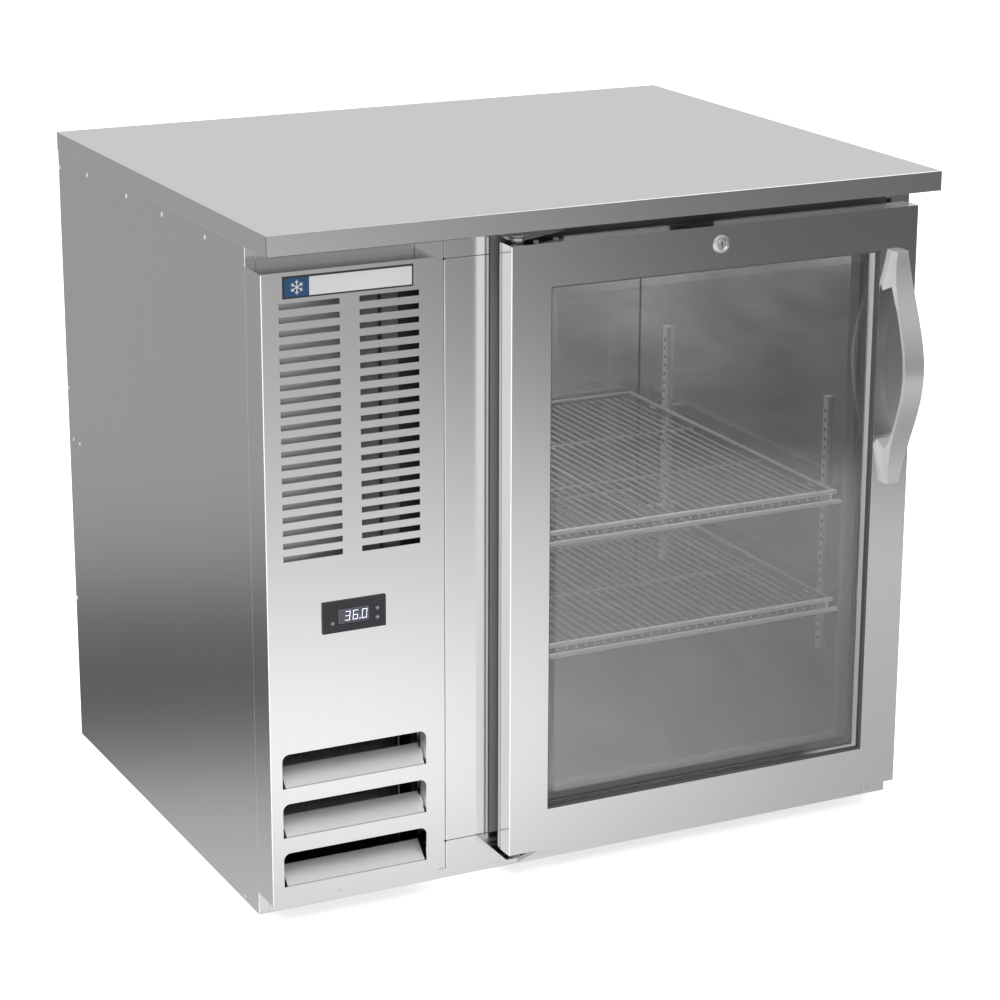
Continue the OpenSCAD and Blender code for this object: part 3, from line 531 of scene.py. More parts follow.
def rounded(lo, hi, radius, steps=5):
    """Outline of a rectangle with round corners."""
    corners = [((hi[0] - radius, hi[1] - radius), 0), ((lo[0] + radius, hi[1] - radius), 90),
               ((lo[0] + radius, lo[1] + radius), 180), ((hi[0] - radius, lo[1] + radius), 270)]
    points = []
    for (x, y), start in corners:
        for i in range(steps + 1):
            a = math.radians(start + 90 * i / steps)
            points.append((x + radius * math.cos(a), y + radius * math.sin(a)))
    return points


SHARP = math.radians(38)


def piece(name, bm, slot, body, replaces=(), bevel=0.0, material=None):
    """Finishes a mesh: smooth shading, soft edges, material, body and what it stands for."""
    bmesh.ops.recalc_face_normals(bm, faces=bm.faces)
    for face in bm.faces:
        face.smooth = True
    for edge in bm.edges:
        edge.smooth = edge.is_manifold and edge.calc_face_angle() < SHARP
    mesh = bpy.data.meshes.new(name)
    bm.to_mesh(mesh)
    bm.free()
    mesh.materials.append(material or slots[slot])
    made = bpy.data.objects.new(name, mesh)
    scene.collection.objects.link(made)
    if bevel:
        soften(made, bevel)
    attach(made, body)
    if replaces:
        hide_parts(*replaces)
    return made


SAME_POINT = 0.00001
FLAT = math.radians(0.5)


def soften(made, width):
    """Joins flat faces, then rounds the sharp edges a little so that they catch the light."""
    weld = made.modifiers.new("weld", "WELD")
    weld.merge_threshold = SAME_POINT
    flat = made.modifiers.new("flat", "DECIMATE")
    flat.decimate_type = "DISSOLVE"
    flat.angle_limit = FLAT
    edges = made.modifiers.new("edges", "BEVEL")
    edges.width = width
    edges.segments = 2
    edges.limit_method = "ANGLE"
    edges.angle_limit = SHARP
    made.modifiers.new("shading", "WEIGHTED_NORMAL").keep_sharp = True


SOFT_NODES = {
    "worktop": 0.0006, "grille_cover": 0.0009, "side_panel_left": 0.0007,
    "side_panel_right": 0.0005, "door_shell": 0.0012, "top_rail": 0.0003,
    "stile_panel": 0.0003, "base_rail": 0.0003, "compartment_wall": 0.0004,
    "hinge_bracket_top": 0.0004, "hinge_bracket_bottom": 0.0004, "electrical_box": 0.0006,
    "evaporator_housing": 0.001, "condensate_pan": 0.001, "door_inner_frame": 0.0006,
    "back_panel": 0.0004, "unit_base": 0.0004, "light_strip": 0.002, "base_pan": 0.0004,
    "shelf_clips": 0.0003, "lock_cam": 0.0005, "lock_strike": 0.0003, "fan_shroud": 0.0004,
    "glass_spacer": 0.0004, "breaker_frame": 0.0005,
}
for name, width in SOFT_NODES.items():
    soften(nodes[name], width)


# ---------------------------------------------------------------- shelves


def make_shelf(body):
    """Coated wire shelf: rod frame, lip rod, cross rods and long wires, rounded and welded."""
    lo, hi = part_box(body)
    rod, wire = 0.0032, 0.0013
    top = hi.z - rod
    lip = lo.z + rod
    left, right = lo.x + 0.011, hi.x - 0.011
    front, back = lo.y + 0.0045, hi.y - 0.0035
    frame_bm, wires = bmesh.new(), bmesh.new()
    add_tube(frame_bm, [(left - 0.004, front, top), (right + 0.004, front, top)], rod, 16)
    add_tube(wires, [(left - 0.004, back, top), (right + 0.004, back, top)], rod, 16)
    add_tube(frame_bm, [(lo.x, front - 0.0005, lip), (hi.x, front - 0.0005, lip)], rod, 16)
    for x in (left, right):
        add_tube(wires, [(x, front, top), (x, back, top)], rod - 0.0003, 16)
    for share in (1 / 3, 2 / 3):
        y = front + (back - front) * share
        add_tube(wires, [(left, y, top - 0.0074), (right, y, top - 0.0074)], 0.0025)
    for x in (left + 0.0043, right - 0.0043):
        add_tube(frame_bm, [(x, front - 0.0002, lip), (x, front - 0.0002, top)], 0.0022)
    count, margin, stout = 36, 0.015, (16, 33)
    pitch = (right - left - 2 * margin) / (count - 1)
    for i in range(count):
        x = left + margin + i * pitch
        thick = wire * (1.5 if i in stout else 1.0)
        z = top - 0.0042
        add_tube(wires, [(x, front - 0.003, z - 0.001), (x, front, z), (x, back + 0.003, z)],
                 thick, 10)
        add_tube(frame_bm, [(x, front - 0.0042, z - 0.001), (x, front - 0.003, z - 0.001)],
                 thick, 10)
    # Front rods and wire ends carry painted light; the rest of the shelf is a darker copy:
    # painted shade.
    piece(body + "_rods", frame_bm, "epoxy_wire", body, [body], material=rod_painted_glow)
    piece(body + "_wires", wires, "epoxy_wire", body, material=wire_painted_shade)


make_shelf("shelf_upper")
make_shelf("shelf_lower")


def make_standards():
    """Slotted channels for the shelf clips, with the clips' tongues in their slots."""
    deep, wide = 0.0058, 0.0115
    slot_pitch, slot_tall, half_slot = 0.0127, 0.005, 0.002
    marks, tongues = bmesh.new(), bmesh.new()
    for name in ("front_left", "front_right", "rear_left", "rear_right"):
        lo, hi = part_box("pilaster_" + name)
        side = 1 if name.endswith("left") else -1
        wall, reach = (lo.x, hi.x) if side > 0 else (hi.x, lo.x)
        face = wall + side * deep
        middle = (lo.y + hi.y) / 2
        bm = bmesh.new()
        add_box(bm, (min(wall, face), middle - wide / 2, lo.z),
                (max(wall, face), middle + wide / 2, hi.z))
        # The channels carry a painted glow.
        piece("standard_" + name, bm, "zinc", "cabinet", ["pilaster_" + name], 0.0005,
              rack_painted_glow)
        z = lo.z + 0.013
        while z < hi.z - 0.01:
            add_box(marks, (face - 0.0001, middle - half_slot, z),
                    (face + 0.0001, middle + half_slot, z + slot_tall))
            z += slot_pitch
        for shelf in ("shelf_upper", "shelf_lower"):
            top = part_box(shelf)[1].z - 0.0085
            add_box(tongues, (min(face, reach), middle - half_slot, top - 0.01),
                    (max(face, reach), middle + half_slot, top))
    # The slots are black marks: painted shade in the holes.
    piece("standard_slots", marks, "black_paint", "cabinet")
    piece("shelf_clip_tongues", tongues, "zinc", "cabinet")


make_standards()


# ---------------------------------------------------------------- grille cover


def make_louvers():
    """Sloping blades with a folded lower edge, and side gussets on the upper two."""
    lo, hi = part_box("louver_blades")
    pitch, count = 0.064, 3
    thick, fold = 0.001, 0.0094
    deep, tall = hi.y - lo.y, hi.z - lo.z - pitch * (count - 1) - fold
    for i in range(count):
        z = lo.z + i * pitch
        bm = bmesh.new()
        slope = [(lo.y, z), (lo.y + thick, z), (lo.y + thick, z + fold),
                 (lo.y + deep, z + fold + tall - 0.0014), (lo.y + deep, z + fold + tall),
                 (lo.y, z + fold + 0.0006)]
        add_plate(bm, slope, "x", lo.x + 0.0075, hi.x - 0.005)
        if i > 0:
            edge = [(lo.y, z + fold), (lo.y + 0.017, z + fold + 0.016),
                    (lo.y + 0.017, z + 0.053), (lo.y, z + 0.053)]
            add_plate(bm, edge, "x", hi.x - 0.0028, hi.x - 0.002)
        stands = ["louver_blades"] if i == 0 else []
        piece(f"louver_blade_{i + 1}", bm, "stainless", "cabinet", stands, 0.0002, blade_look)


make_louvers()


def make_nameplate():
    """Plain badge: dark border, pale field and a coloured end with a snow crystal."""
    lo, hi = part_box("nameplate")
    rim = 0.0021
    bm = bmesh.new()
    outline = [(lo.x, lo.z), (hi.x, lo.z), (hi.x, hi.z), (lo.x, hi.z)]
    add_plate(bm, outline, "y", lo.y + 0.0002, hi.y)
    piece("nameplate_border", bm, "gloss_black", "cabinet", ["nameplate"], 0.0002)
    split = lo.x + (hi.x - lo.x) * 0.2
    for name, x0, x1, look in (("field", split, hi.x - rim, badge_pale),
                               ("end", lo.x + rim, split, badge_blue)):
        bm = bmesh.new()
        add_box(bm, (x0, lo.y, lo.z + rim), (x1, lo.y + 0.0004, hi.z - rim))
        piece("nameplate_" + name, bm, "plate", "cabinet", material=look)
    bm = bmesh.new()
    middle = Vector(((lo.x + split + rim) / 2, lo.y - 0.0001, (lo.z + hi.z) / 2))
    arm = (hi.z - lo.z) / 2 - 2.2 * rim
    for k in range(6):
        turn = Matrix.Rotation(math.radians(60 * k), 3, "Y")
        for start, end in (((0, 0), (0, 1)), ((0, 0.55), (0.24, 0.8)), ((0, 0.55), (-0.24, 0.8))):
            ends = [middle + turn @ Vector((x * arm, 0, z * arm)) for x, z in (start, end)]
            add_tube(bm, ends, 0.00065, 6)
    piece("nameplate_crystal", bm, "plate", "cabinet", material=badge_pale)


make_nameplate()


# Heights that the cover's slots lie between.
SLOT_HEIGHTS = (0.455, 0.79)


def make_intake():
    """Behind the slots: a sloping duct sheet on the left, a ribbed filter on the right."""
    lo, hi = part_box("grille_cover")
    middle = (lo.x + hi.x) / 2
    low, high = SLOT_HEIGHTS
    skin = lo.y + 0.001
    bm = bmesh.new()
    run = [(lo.x + 0.003, skin + 0.0024), (middle - 0.055, skin + 0.0050),
           (middle + 0.004, skin + 0.0200), (middle + 0.004, skin + 0.0210),
           (middle - 0.056, skin + 0.0060), (lo.x + 0.003, skin + 0.0034)]
    add_plate(bm, run, "z", low, high)
    piece("intake_duct", bm, "galvanised", "cabinet", material=duct_look)
    bm = bmesh.new()
    add_box(bm, (middle + 0.006, skin + 0.014, low), (middle + 0.072, skin + 0.015, high))
    piece("intake_filter", bm, "black_plastic", "cabinet", material=filter_look)
    bm = bmesh.new()
    for x in (middle + 0.0425, middle + 0.0685):
        add_box(bm, (x, skin + 0.009, low), (x + 0.0018, skin + 0.014, high))
    add_box(bm, (middle + 0.07, skin + 0.020, low), (hi.x - 0.003, skin + 0.021, high))
    piece("intake_filter_ribs", bm, "black_plastic", "cabinet")


make_intake()


# Thickness of the painted shade lines in the joints, and how far thin lines stand proud of the
# sheet.
SEAM = 0.0006
PROUD = 0.00005


def make_seams():
    """Painted shade: dark strips in the joints of the front face, the liner and the door's side.
    """
    lo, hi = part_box("stile_panel")
    rail_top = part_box("top_rail")[1].z
    face = lo.y
    near, far = face + 0.0002, face + 0.0012
    bm = bmesh.new()
    add_box(bm, (lo.x - SEAM, near, 0.013), (lo.x, far, rail_top))
    add_box(bm, (lo.x, near, hi.z), (hi.x, far, hi.z + SEAM))
    add_box(bm, (lo.x, near, lo.z - SEAM), (hi.x, far, lo.z))
    piece("face_seams", bm, "black_paint", "cabinet")
    bm = bmesh.new()
    for z in (lo.z - SEAM / 2, hi.z + SEAM / 2):
        add_lathe(bm, [(0.0016, 0.0), (0.0016, 0.0003), (0.0, 0.0004)],
                  (lo.x - SEAM / 2, face, z), (0, -1, 0), 12)
    piece("face_seam_corners", bm, "black_paint", "cabinet")
    liner_lo, liner_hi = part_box("inner_liner")
    corner = (liner_hi.x - 0.0010, liner_hi.y - 0.0010)
    bm = bmesh.new()
    add_box(bm, (corner[0] - 2 * SEAM, corner[1] - 2 * SEAM, liner_lo.z + 0.002),
            (*corner, liner_hi.z - 0.002))
    piece("liner_corner_seam", bm, "black_paint", "cabinet")
    shell_lo, shell_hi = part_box("door_shell")
    bm = bmesh.new()
    add_box(bm, (shell_lo.x - 0.0001, shell_hi.y - 0.0003, shell_lo.z + 0.001),
            (shell_lo.x + 0.0005, shell_hi.y + SEAM, shell_hi.z - 0.001))
    piece("door_side_seam", bm, "black_paint", "door")
    top_lo, top_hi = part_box("worktop")
    bm = bmesh.new()
    add_box(bm, (top_lo.x + 0.0001, top_lo.y - PROUD, top_lo.z + 0.0005),
            (top_lo.x + 0.0007, top_lo.y + 0.0004, top_hi.z - 0.001))
    piece("worktop_corner_seam", bm, "black_paint", "cabinet")


def add_edge_line(bm, x, wide, box_lo, low, high):
    """Thin upright line of painted highlight on the front of a sheet."""
    add_box(bm, (x, box_lo.y - PROUD, low), (x + wide, box_lo.y + 0.0004, high))


def make_painted_edge_highlights():
    """Painted highlights: pale lines down the front edges of the cover, side panel, stile and
    door.
    """
    bm = bmesh.new()
    lo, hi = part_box("grille_cover")
    add_edge_line(bm, lo.x - PROUD, 0.0009 + PROUD, lo, lo.z + 0.001, hi.z - 0.001)
    lo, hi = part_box("side_panel_left")
    add_edge_line(bm, lo.x + 0.0001, 0.0008, lo, lo.z + 0.001, hi.z - 0.001)
    lo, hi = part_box("stile_panel")
    add_edge_line(bm, lo.x + 0.0002, 0.0009, lo, 0.014, hi.z)
    piece("painted_edge_highlights", bm, "stainless", "cabinet", material=edge_painted_highlight)
    bm = bmesh.new()
    lo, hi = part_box("door_shell")
    add_edge_line(bm, lo.x + 0.0001, 0.0013, lo, lo.z + 0.001, hi.z - 0.001)
    piece("door_painted_edge_highlight", bm, "stainless", "door", material=edge_painted_highlight)


# Height of the painted shade sheet under the worktop.
SHADE_SHEET_UNDER = 0.8382


def make_overhang_shade():
    """Painted shade: a dark sheet under the worktop's overhang, above the grille cover."""
    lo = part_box("worktop")[0]
    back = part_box("stile_panel")[0]
    inset = 0.0015
    bm = bmesh.new()
    add_box(bm, (lo.x + inset, lo.y + inset, SHADE_SHEET_UNDER - 0.0006),
            (back.x, back.y, SHADE_SHEET_UNDER))
    piece("overhang_shade_sheet", bm, "black_paint", "cabinet", material=overhang_painted_shade)


make_overhang_shade()
make_seams()
make_painted_edge_highlights()


# ---------------------------------------------------------------- controller

SEGMENTS = {"3": "abgcd", "6": "afgedc", "0": "abcdef"}


def add_digit(bm, character, x, z, wide, tall, y0, y1):
    """Seven segment digit whose lower left corner is at x, z."""
    bar = wide * 0.16
    half = tall / 2
    places = {
        "a": (0, tall - bar, wide, tall), "g": (0, half - bar / 2, wide, half + bar / 2),
        "d": (0, 0, wide, bar), "f": (0, half, bar, tall), "b": (wide - bar, half, wide, tall),
        "e": (0, 0, bar, half), "c": (wide - bar, 0, wide, half),
    }
    gap = bar * 0.15
    lean = 0.08
    for letter in SEGMENTS[character]:
        x0, z0, x1, z1 = places[letter]
        corners = [(x0 + gap, z0 + gap), (x1 - gap, z0 + gap), (x1 - gap, z1 - gap),
                   (x0 + gap, z1 - gap)]
        outline = [(x + a + b * lean, z + b) for a, b in corners]
        add_plate(bm, outline, "y", y0, y1)


def make_controller():
    """Case, window with lit digits, button marks and an indicator."""
    lo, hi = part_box("display_lens")
    case_lo, case_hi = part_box("controller_case")
    soften(nodes["controller_case"], 0.0008)
    tall = (hi.z - lo.z) * 0.6
    wide = tall * 0.56
    start = lo.x + (hi.x - lo.x) * 0.22
    base = lo.z + (hi.z - lo.z) * 0.2
    step = wide * 1.5
    bm = bmesh.new()
    face = lo.y - 0.0001
    for i, character in enumerate("36"):
        add_digit(bm, character, start + i * step, base, wide, tall, face, lo.y + 0.0002)
    dot = start + 2 * step - wide * 0.16
    add_box(bm, (dot, face, base), (dot + wide * 0.2, lo.y + 0.0002, base + wide * 0.22))
    add_digit(bm, "0", dot + wide * 0.42, base, wide, tall, face, lo.y + 0.0002)
    piece("display_digits", bm, "display_glass", "cabinet", material=digit_light)
    bm = bmesh.new()
    rim = rounded((lo.x + 0.0006, lo.z + 0.0006), (hi.x - 0.0006, hi.z - 0.0006), 0.001)
    add_plate(bm, rim, "y", lo.y - 0.00005, lo.y + 0.0008)
    piece("display_window", bm, "display_glass", "cabinet", ["display_lens"],
          material=window_look)
    for name, up in (("button_up", 1), ("button_down", -1)):
        lo_b, hi_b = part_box(name)
        centre = (lo_b + hi_b) / 2
        size = 0.0011
        bm = bmesh.new()
        for side in (-1, 1):
            ends = [(centre.x + side * size, lo_b.y - 0.00005, centre.z - up * size * 0.6),
                    (centre.x, lo_b.y - 0.00005, centre.z + up * size * 0.7)]
            add_tube(bm, ends, 0.00025, 6)
        piece(name + "_mark", bm, "button_plastic", name, material=mark_look)
    lo_b, hi_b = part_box("button_set")
    centre = (lo_b + hi_b) / 2
    bm = bmesh.new()
    for shift in (-0.0007, 0.0007):
        ends = [(centre.x + shift - 0.0005, lo_b.y - 0.00005, centre.z - 0.0005),
                (centre.x + shift + 0.0005, lo_b.y - 0.00005, centre.z + 0.0005)]
        add_tube(bm, ends, 0.00025, 6)
    piece("button_set_mark", bm, "button_plastic", "button_set", material=mark_look)
    bm = bmesh.new()
    corner = (case_hi.x - 0.0145, case_hi.z - 0.0065)
    add_box(bm, (corner[0], case_lo.y - 0.0001, corner[1]),
            (corner[0] + 0.009, case_lo.y + 0.0004, corner[1] + 0.0035))
    piece("indicator_window", bm, "display_glass", "cabinet", material=indicator_look)


make_controller()


# ---------------------------------------------------------------- fasteners


def add_screw(bm, place, axis, radius, height):
    """Pan head with a cross recess; axis points out of the surface."""
    profile = [(radius, 0.0), (radius, height * 0.35), (radius * 0.86, height * 0.8),
               (radius * 0.5, height), (radius * 0.45, height), (0.0, height * 0.95)]
    add_lathe(bm, profile, place, axis, 24)


def make_screws():
    """Heads on the side panels and on the cover, with their recesses."""
    islands = []
    source = bmesh.new()
    source.from_mesh(nodes["panel_screws"].data)
    bmesh.ops.remove_doubles(source, verts=source.verts, dist=SAME_POINT)
    seen = set()
    for vertex in source.verts:
        if vertex in seen:
            continue
        group, wait = [], [vertex]
        seen.add(vertex)
        while wait:
            current = wait.pop()
            group.append(current.co.copy())
            for edge in current.link_edges:
                other = edge.other_vert(current)
                if other not in seen:
                    seen.add(other)
                    wait.append(other)
        islands.append(group)
    source.free()
    heads, slots_bm = bmesh.new(), bmesh.new()
    for group in islands:
        lo = Vector(min(p[i] for p in group) for i in range(3))
        hi = Vector(max(p[i] for p in group) for i in range(3))
        size = hi - lo
        axis = Vector((-1, 0, 0)) if size.x < size.z * 0.5 else Vector((0, -1, 0))
        radius = size.z / 2
        centre = (lo + hi) / 2
        base = centre - axis * 0.0004
        add_screw(heads, base, axis, radius, 0.0008)
        across = axis.cross(Vector((0, 0, 1)))
        for arm in (across, Vector((0, 0, 1))):
            reach = arm * radius * 0.5
            tip = base + axis * 0.0005
            add_tube(slots_bm, [tip - reach, tip + reach], 0.0003, 6)
    piece("panel_screw_heads", heads, "zinc", "cabinet", ["panel_screws"])
    # The recesses are black crosses: painted shade.
    piece("panel_screw_recesses", slots_bm, "black_paint", "cabinet")


make_screws()


def make_hinge_screws():
    """Two screws in the top of the door beside the hinge."""
    lo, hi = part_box("door_shell")
    heads, marks = bmesh.new(), bmesh.new()
    for x, y in ((0.039, 0.013), (0.068, 0.018)):
        base = Vector((lo.x + x, lo.y + y, hi.z))
        add_screw(heads, base, (0, 0, 1), 0.0035, 0.0022)
        for arm in (Vector((1, 0, 0)), Vector((0, 1, 0))):
            tip = base + Vector((0, 0, 0.0021))
            add_tube(marks, [tip - arm * 0.0018, tip + arm * 0.0018], 0.0004, 6)
    piece("hinge_screw_heads", heads, "zinc", "door")
    # The recesses are black crosses: painted shade.
    piece("hinge_screw_recesses", marks, "black_paint", "door")


make_hinge_screws()


# ---------------------------------------------------------------- lock


def make_lock():
    """Turned collar with a stepped rim, and a plug with a keyway."""
    lo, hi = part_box("lock_housing")
    middle = (lo + hi) / 2
    front = lo.y
    outer = (hi.x - lo.x) / 2
    bore = 0.0065
    depth = hi.y - front
    profile = [(bore, depth), (bore, 0.0006), (bore + 0.0007, 0.0), (outer - 0.0018, 0.0),
               (outer - 0.0009, 0.0005), (outer - 0.0009, 0.0016), (outer, 0.0020),
               (outer, 0.003), (0.0095, 0.003), (0.0095, depth)]
    bm = bmesh.new()
    sides = 56
    rings = []
    for radius, step in profile:
        turns = [2 * math.pi * k / sides for k in range(sides)]
        rings.append([(middle.x + radius * math.cos(a), front + step,
                       middle.z + radius * math.sin(a)) for a in turns])
    add_rings(bm, rings, closed=True)
    piece("lock_collar", bm, "lock_metal", "door", ["lock_housing"])
    plug_lo, plug_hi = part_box("lock_plug")
    turned = [(0.0, plug_hi.y - plug_lo.y), (0.0064, plug_hi.y - plug_lo.y), (0.0064, 0.0005),
              (0.0059, 0.0), (0.0, 0.0)]
    bm = bmesh.new()
    add_lathe(bm, turned, (middle.x, plug_lo.y, middle.z), (0, 1, 0), 48)
    piece("lock_plug_face", bm, "lock_metal", "lock", ["lock_plug"])
    bm = bmesh.new()
    way = [(-0.0007, -0.0036), (0.0002, -0.0036), (0.0002, -0.0012), (0.0010, -0.0006),
           (0.0010, 0.0008), (0.0004, 0.0014), (0.0004, 0.0036), (-0.0007, 0.0036),
           (-0.0007, 0.0016), (-0.0011, 0.0008), (-0.0011, -0.0008), (-0.0007, -0.0014)]
    outline = [(middle.x + x, middle.z + z) for x, z in way]
    add_plate(bm, outline, "y", plug_lo.y - 0.0001, plug_lo.y + 0.001)
    # The keyway is a black mark: painted shade in the hole.
    piece("lock_keyway", bm, "black_paint", "lock")


make_lock()


# ---------------------------------------------------------------- handle


def as_object(name, bm):
    """Plain object for a cut."""
    bmesh.ops.recalc_face_normals(bm, faces=bm.faces)
    mesh = bpy.data.meshes.new(name)
    bm.to_mesh(mesh)
    bm.free()
    made = bpy.data.objects.new(name, mesh)
    scene.collection.objects.link(made)
    return made


def cut_away(body, cutter):
    """What a cut leaves of a plain object, as a bmesh. Both objects are used up."""
    cut = body.modifiers.new("cut", "BOOLEAN")
    cut.operation = "DIFFERENCE"
    cut.solver = "EXACT"
    cut.material_mode = "TRANSFER"
    cut.object = cutter
    ready = body.evaluated_get(bpy.context.evaluated_depsgraph_get())
    bm = bmesh.new()
    bm.from_mesh(ready.to_mesh())
    bpy.data.objects.remove(body)
    bpy.data.objects.remove(cutter)
    return bm


# Half width of the handle's feet, by the share of its half length.
HANDLE_FEET = [(0.5, 0.0141), (0.583, 0.021), (0.667, 0.0212), (0.75, 0.0188), (0.833, 0.0156),
               (0.917, 0.0125), (1.0, 0.0096)]
# Ends of the finger gap, as Y from the handle's back and distance from its middle.
LOW_ARCH = [(0.001, 0.092), (-0.005, 0.097), (-0.0125, 0.104)]
HIGH_ARCH = [(0.001, 0.102), (-0.005, 0.105), (-0.0125, 0.109)]
# The gap's front edge follows the bow over this share of the half length.
GAP_SHARE = 0.62
# Places of the materials on the finished handle. The cut gives the gap's walls place 1.
FRONT, FLANK = 0, 2


def make_handle():
    """Bow handle with spread feet: a solid bar with the finger gap cut through it."""
    lo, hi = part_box("door_handle")
    middle = (lo + hi) / 2
    half = (hi.z - lo.z) / 2
    reach_end, reach_mid = 0.012, hi.y - lo.y
    wide_mid, wide_drop, bar_depth = 0.0145, 0.0065, 0.0055

    def reach(u):
        return reach_end + (reach_mid - reach_end) * math.cos(math.pi / 2 * u) ** 2

    def section(u):
        wide = wide_mid - wide_drop * u ** 4
        foot = wide
        for (u0, w0), (u1, w1) in zip(HANDLE_FEET, HANDLE_FEET[1:]):
            if u0 <= abs(u) <= u1:
                foot = w0 + (w1 - w0) * (abs(u) - u0) / (u1 - u0)
        x, y, z = middle.x, hi.y, middle.z + u * half
        return [(x - foot, y, z), (x - wide, y - reach(u), z), (x + wide, y - reach(u), z),
                (x + foot, y, z)]

    bm = bmesh.new()
    steps = 72
    add_rings(bm, [section(-1 + 2 * i / steps) for i in range(steps + 1)])
    body = as_object("handle_body", bm)
    bm = bmesh.new()
    steps = 48
    shares = [-GAP_SHARE + 2 * GAP_SHARE * i / steps for i in range(steps + 1)]
    outline = [(hi.y + y, middle.z - z) for y, z in LOW_ARCH]
    outline += [(hi.y - reach(u) + bar_depth, middle.z + u * half) for u in shares]
    outline += [(hi.y + y, middle.z + z) for y, z in reversed(HIGH_ARCH)]
    add_plate(bm, outline, "x", middle.x - 0.05, middle.x + 0.05)
    cutter = as_object("handle_gap", bm)
    # The gap's walls get the darker copy of the metal: painted shade.
    cutter.data.materials.append(gap_painted_shade)
    body.data.materials.append(slots["handle_metal"])
    bm = cut_away(body, cutter)
    # Faces turned to the sides get the more diffuse copy: painted light.
    for face in bm.faces:
        if face.material_index == FRONT and abs(face.normal.x) > 0.5:
            face.material_index = FLANK
    made = piece("handle_bow", bm, "handle_metal", "door", ["door_handle"], 0.0006)
    made.data.materials.append(gap_painted_shade)
    made.data.materials.append(flank_painted_light)


make_handle()


# ---------------------------------------------------------------- door glass and gasket


def make_coating():
    """Thin mirror film inside the front pane, kept clear of the pane's edges."""
    lo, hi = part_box("glazing_seal")
    inset = 0.0165
    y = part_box("glass_panes")[0].y + 0.0041
    bm = bmesh.new()
    add_box(bm, (lo.x + inset, y, lo.z + inset), (hi.x - inset, y + 0.0001, hi.z - inset))
    piece("low_e_film", bm, "glass", "door", material=film_look)


make_coating()


def frame_sweep(bm, box_lo, box_hi, profile):
    """Sweeps a profile of (inset, y) points round a rectangle in X and Z, with mitred corners."""
    rings = []
    for sx, sz in ((0, 0), (1, 0), (1, 1), (0, 1)):
        x = (box_lo.x, box_hi.x)[sx]
        z = (box_lo.z, box_hi.z)[sz]
        inward = (1 - 2 * sx, 1 - 2 * sz)
        rings.append([(x + inward[0] * inset, y, z + inward[1] * inset) for inset, y in profile])
    add_rings(bm, rings, closed=True)


def make_gasket():
    """Magnetic gasket: base strip, bellows folds and a magnet bulb that meets the cabinet."""
    lo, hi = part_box("door_gasket")
    base, face = lo.y, hi.y
    bulb = 0.016  # from the gasket's outer edge in to the magnet bulb
    profile = [(0.0, base), (0.030, base), (0.030, base + 0.0030), (bulb + 0.0140, base + 0.004),
               (bulb + 0.0110, base + 0.0055), (bulb + 0.0140, base + 0.007),
               (bulb + 0.0115, base + 0.0085), (bulb + 0.0130, base + 0.0095),
               (bulb + 0.0130, face - 0.0006), (bulb + 0.0122, face),
               (bulb + 0.0012, face), (bulb + 0.0004, face - 0.0006),
               (bulb + 0.0004, base + 0.0095), (bulb + 0.0022, base + 0.0085),
               (bulb, base + 0.007), (bulb + 0.0030, base + 0.0055), (bulb, base + 0.004),
               (0.0, base + 0.0035)]
    bm = bmesh.new()
    frame_sweep(bm, lo, hi, profile)
    piece("gasket_bellows", bm, "seal", "door", ["door_gasket"])


make_gasket()


# ---------------------------------------------------------------- refrigeration parts


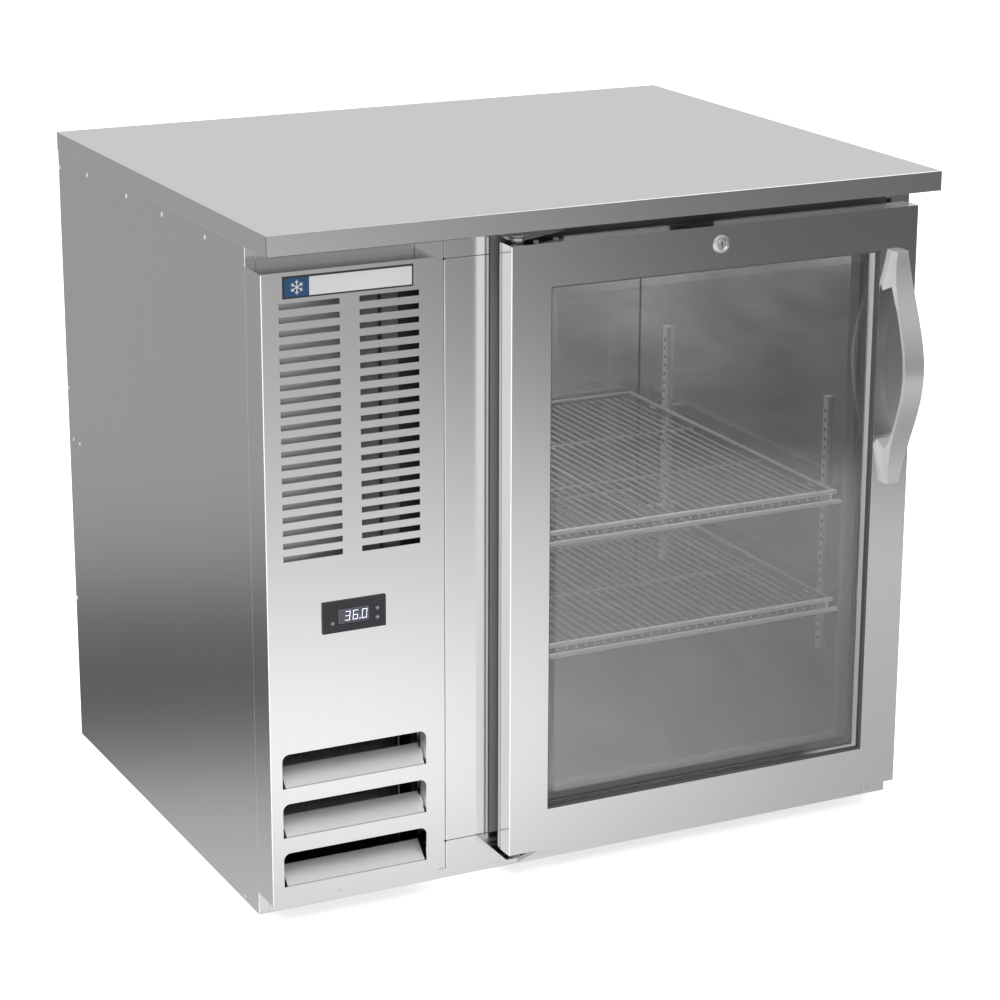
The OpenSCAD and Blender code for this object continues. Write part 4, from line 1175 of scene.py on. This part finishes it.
def make_condenser():
    """Condenser: fins between end plates, tubes through them and round return bends."""
    lo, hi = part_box("condenser_coil")
    core_lo = Vector((lo.x + 0.012, lo.y + 0.002, lo.z + 0.016))
    core_hi = Vector((hi.x - 0.012, hi.y - 0.004, hi.z - 0.004))
    bm = bmesh.new()
    pitch, thick = 0.0028, 0.00025
    count = int((core_hi.x - core_lo.x) / pitch)
    for i in range(1, count):
        x = core_lo.x + i * pitch
        add_box(bm, (x, core_lo.y, core_lo.z), (x + thick, core_hi.y, core_hi.z))
    piece("condenser_fins", bm, "coil_fins", "cabinet", ["condenser_coil"])
    bm = bmesh.new()
    for x in (core_lo.x - 0.002, core_hi.x):
        add_box(bm, (x, lo.y, lo.z), (x + 0.002, hi.y, hi.z))
    piece("condenser_end_plates", bm, "galvanised", "cabinet")
    bm = bmesh.new()
    step, radius, bend_radius, bend = 0.032, 0.0045, 0.0036, 0.00675
    rows = (core_lo.y + 0.010, core_hi.y - 0.010)
    centre = (rows[0] + rows[1]) / 2
    half = (rows[1] - rows[0]) / 2
    level = core_lo.z + 0.016
    while level < core_hi.z - 0.01:
        for y in rows:
            add_tube(bm, [(core_lo.x - 0.004, y, level), (core_hi.x + 0.004, y, level)], radius)
        for end, way in ((core_lo.x - 0.003, -1), (core_hi.x + 0.003, 1)):
            turns = [math.pi * k / 8 for k in range(9)]
            arc = [(end + way * bend * math.sin(a), centre - half * math.cos(a), level)
                   for a in turns]
            add_tube(bm, arc, bend_radius)
        level += step
    piece("condenser_tubes", bm, "copper", "cabinet")


make_condenser()


def make_evaporator():
    """Evaporator: upright fins, tubes and a wire guard in front of its fan."""
    lo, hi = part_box("evaporator_coil")
    bm = bmesh.new()
    pitch, thick = 0.004, 0.0003
    y = lo.y + 0.012
    while y < hi.y - 0.012:
        add_box(bm, (lo.x, y, lo.z), (hi.x, y + thick, hi.z))
        y += pitch
    piece("evaporator_fins", bm, "coil_fins", "cabinet", ["evaporator_coil"])
    bm = bmesh.new()
    tube_x = lo.x + 0.017
    for k in range(6):
        z = lo.z + 0.015 + k * 0.030
        add_tube(bm, [(tube_x, lo.y, z), (tube_x, hi.y, z)], 0.0045)
    piece("evaporator_tubes", bm, "copper", "cabinet")
    fan_lo, fan_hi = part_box("evaporator_fan")
    centre = (fan_lo + fan_hi) / 2
    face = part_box("evaporator_housing")[1].x
    bm = bmesh.new()
    ring_radii = (0.014, 0.026, 0.038, 0.050, 0.062)
    wire_radius, steps, sides = 0.001, 48, 8
    for radius in ring_radii:
        rings = []
        for a in (2 * math.pi * k / steps for k in range(steps)):
            out = Vector((0, math.cos(a), math.sin(a)))
            point = Vector((face + 0.0025, centre.y, centre.z)) + radius * out
            rings.append([point + wire_radius * (out * math.cos(b) + Vector((math.sin(b), 0, 0)))
                          for b in (2 * math.pi * k / sides for k in range(sides))])
        add_rings(bm, rings, closed=True)
    for k in range(4):
        a = math.radians(45 + 90 * k)
        way = Vector((0, math.cos(a), math.sin(a)))
        start = Vector((face + 0.001, centre.y, centre.z))
        add_tube(bm, [start + way * ring_radii[0], start + way * 0.069], 0.0012, 8)
    piece("evaporator_fan_guard", bm, "zinc", "cabinet")


make_evaporator()
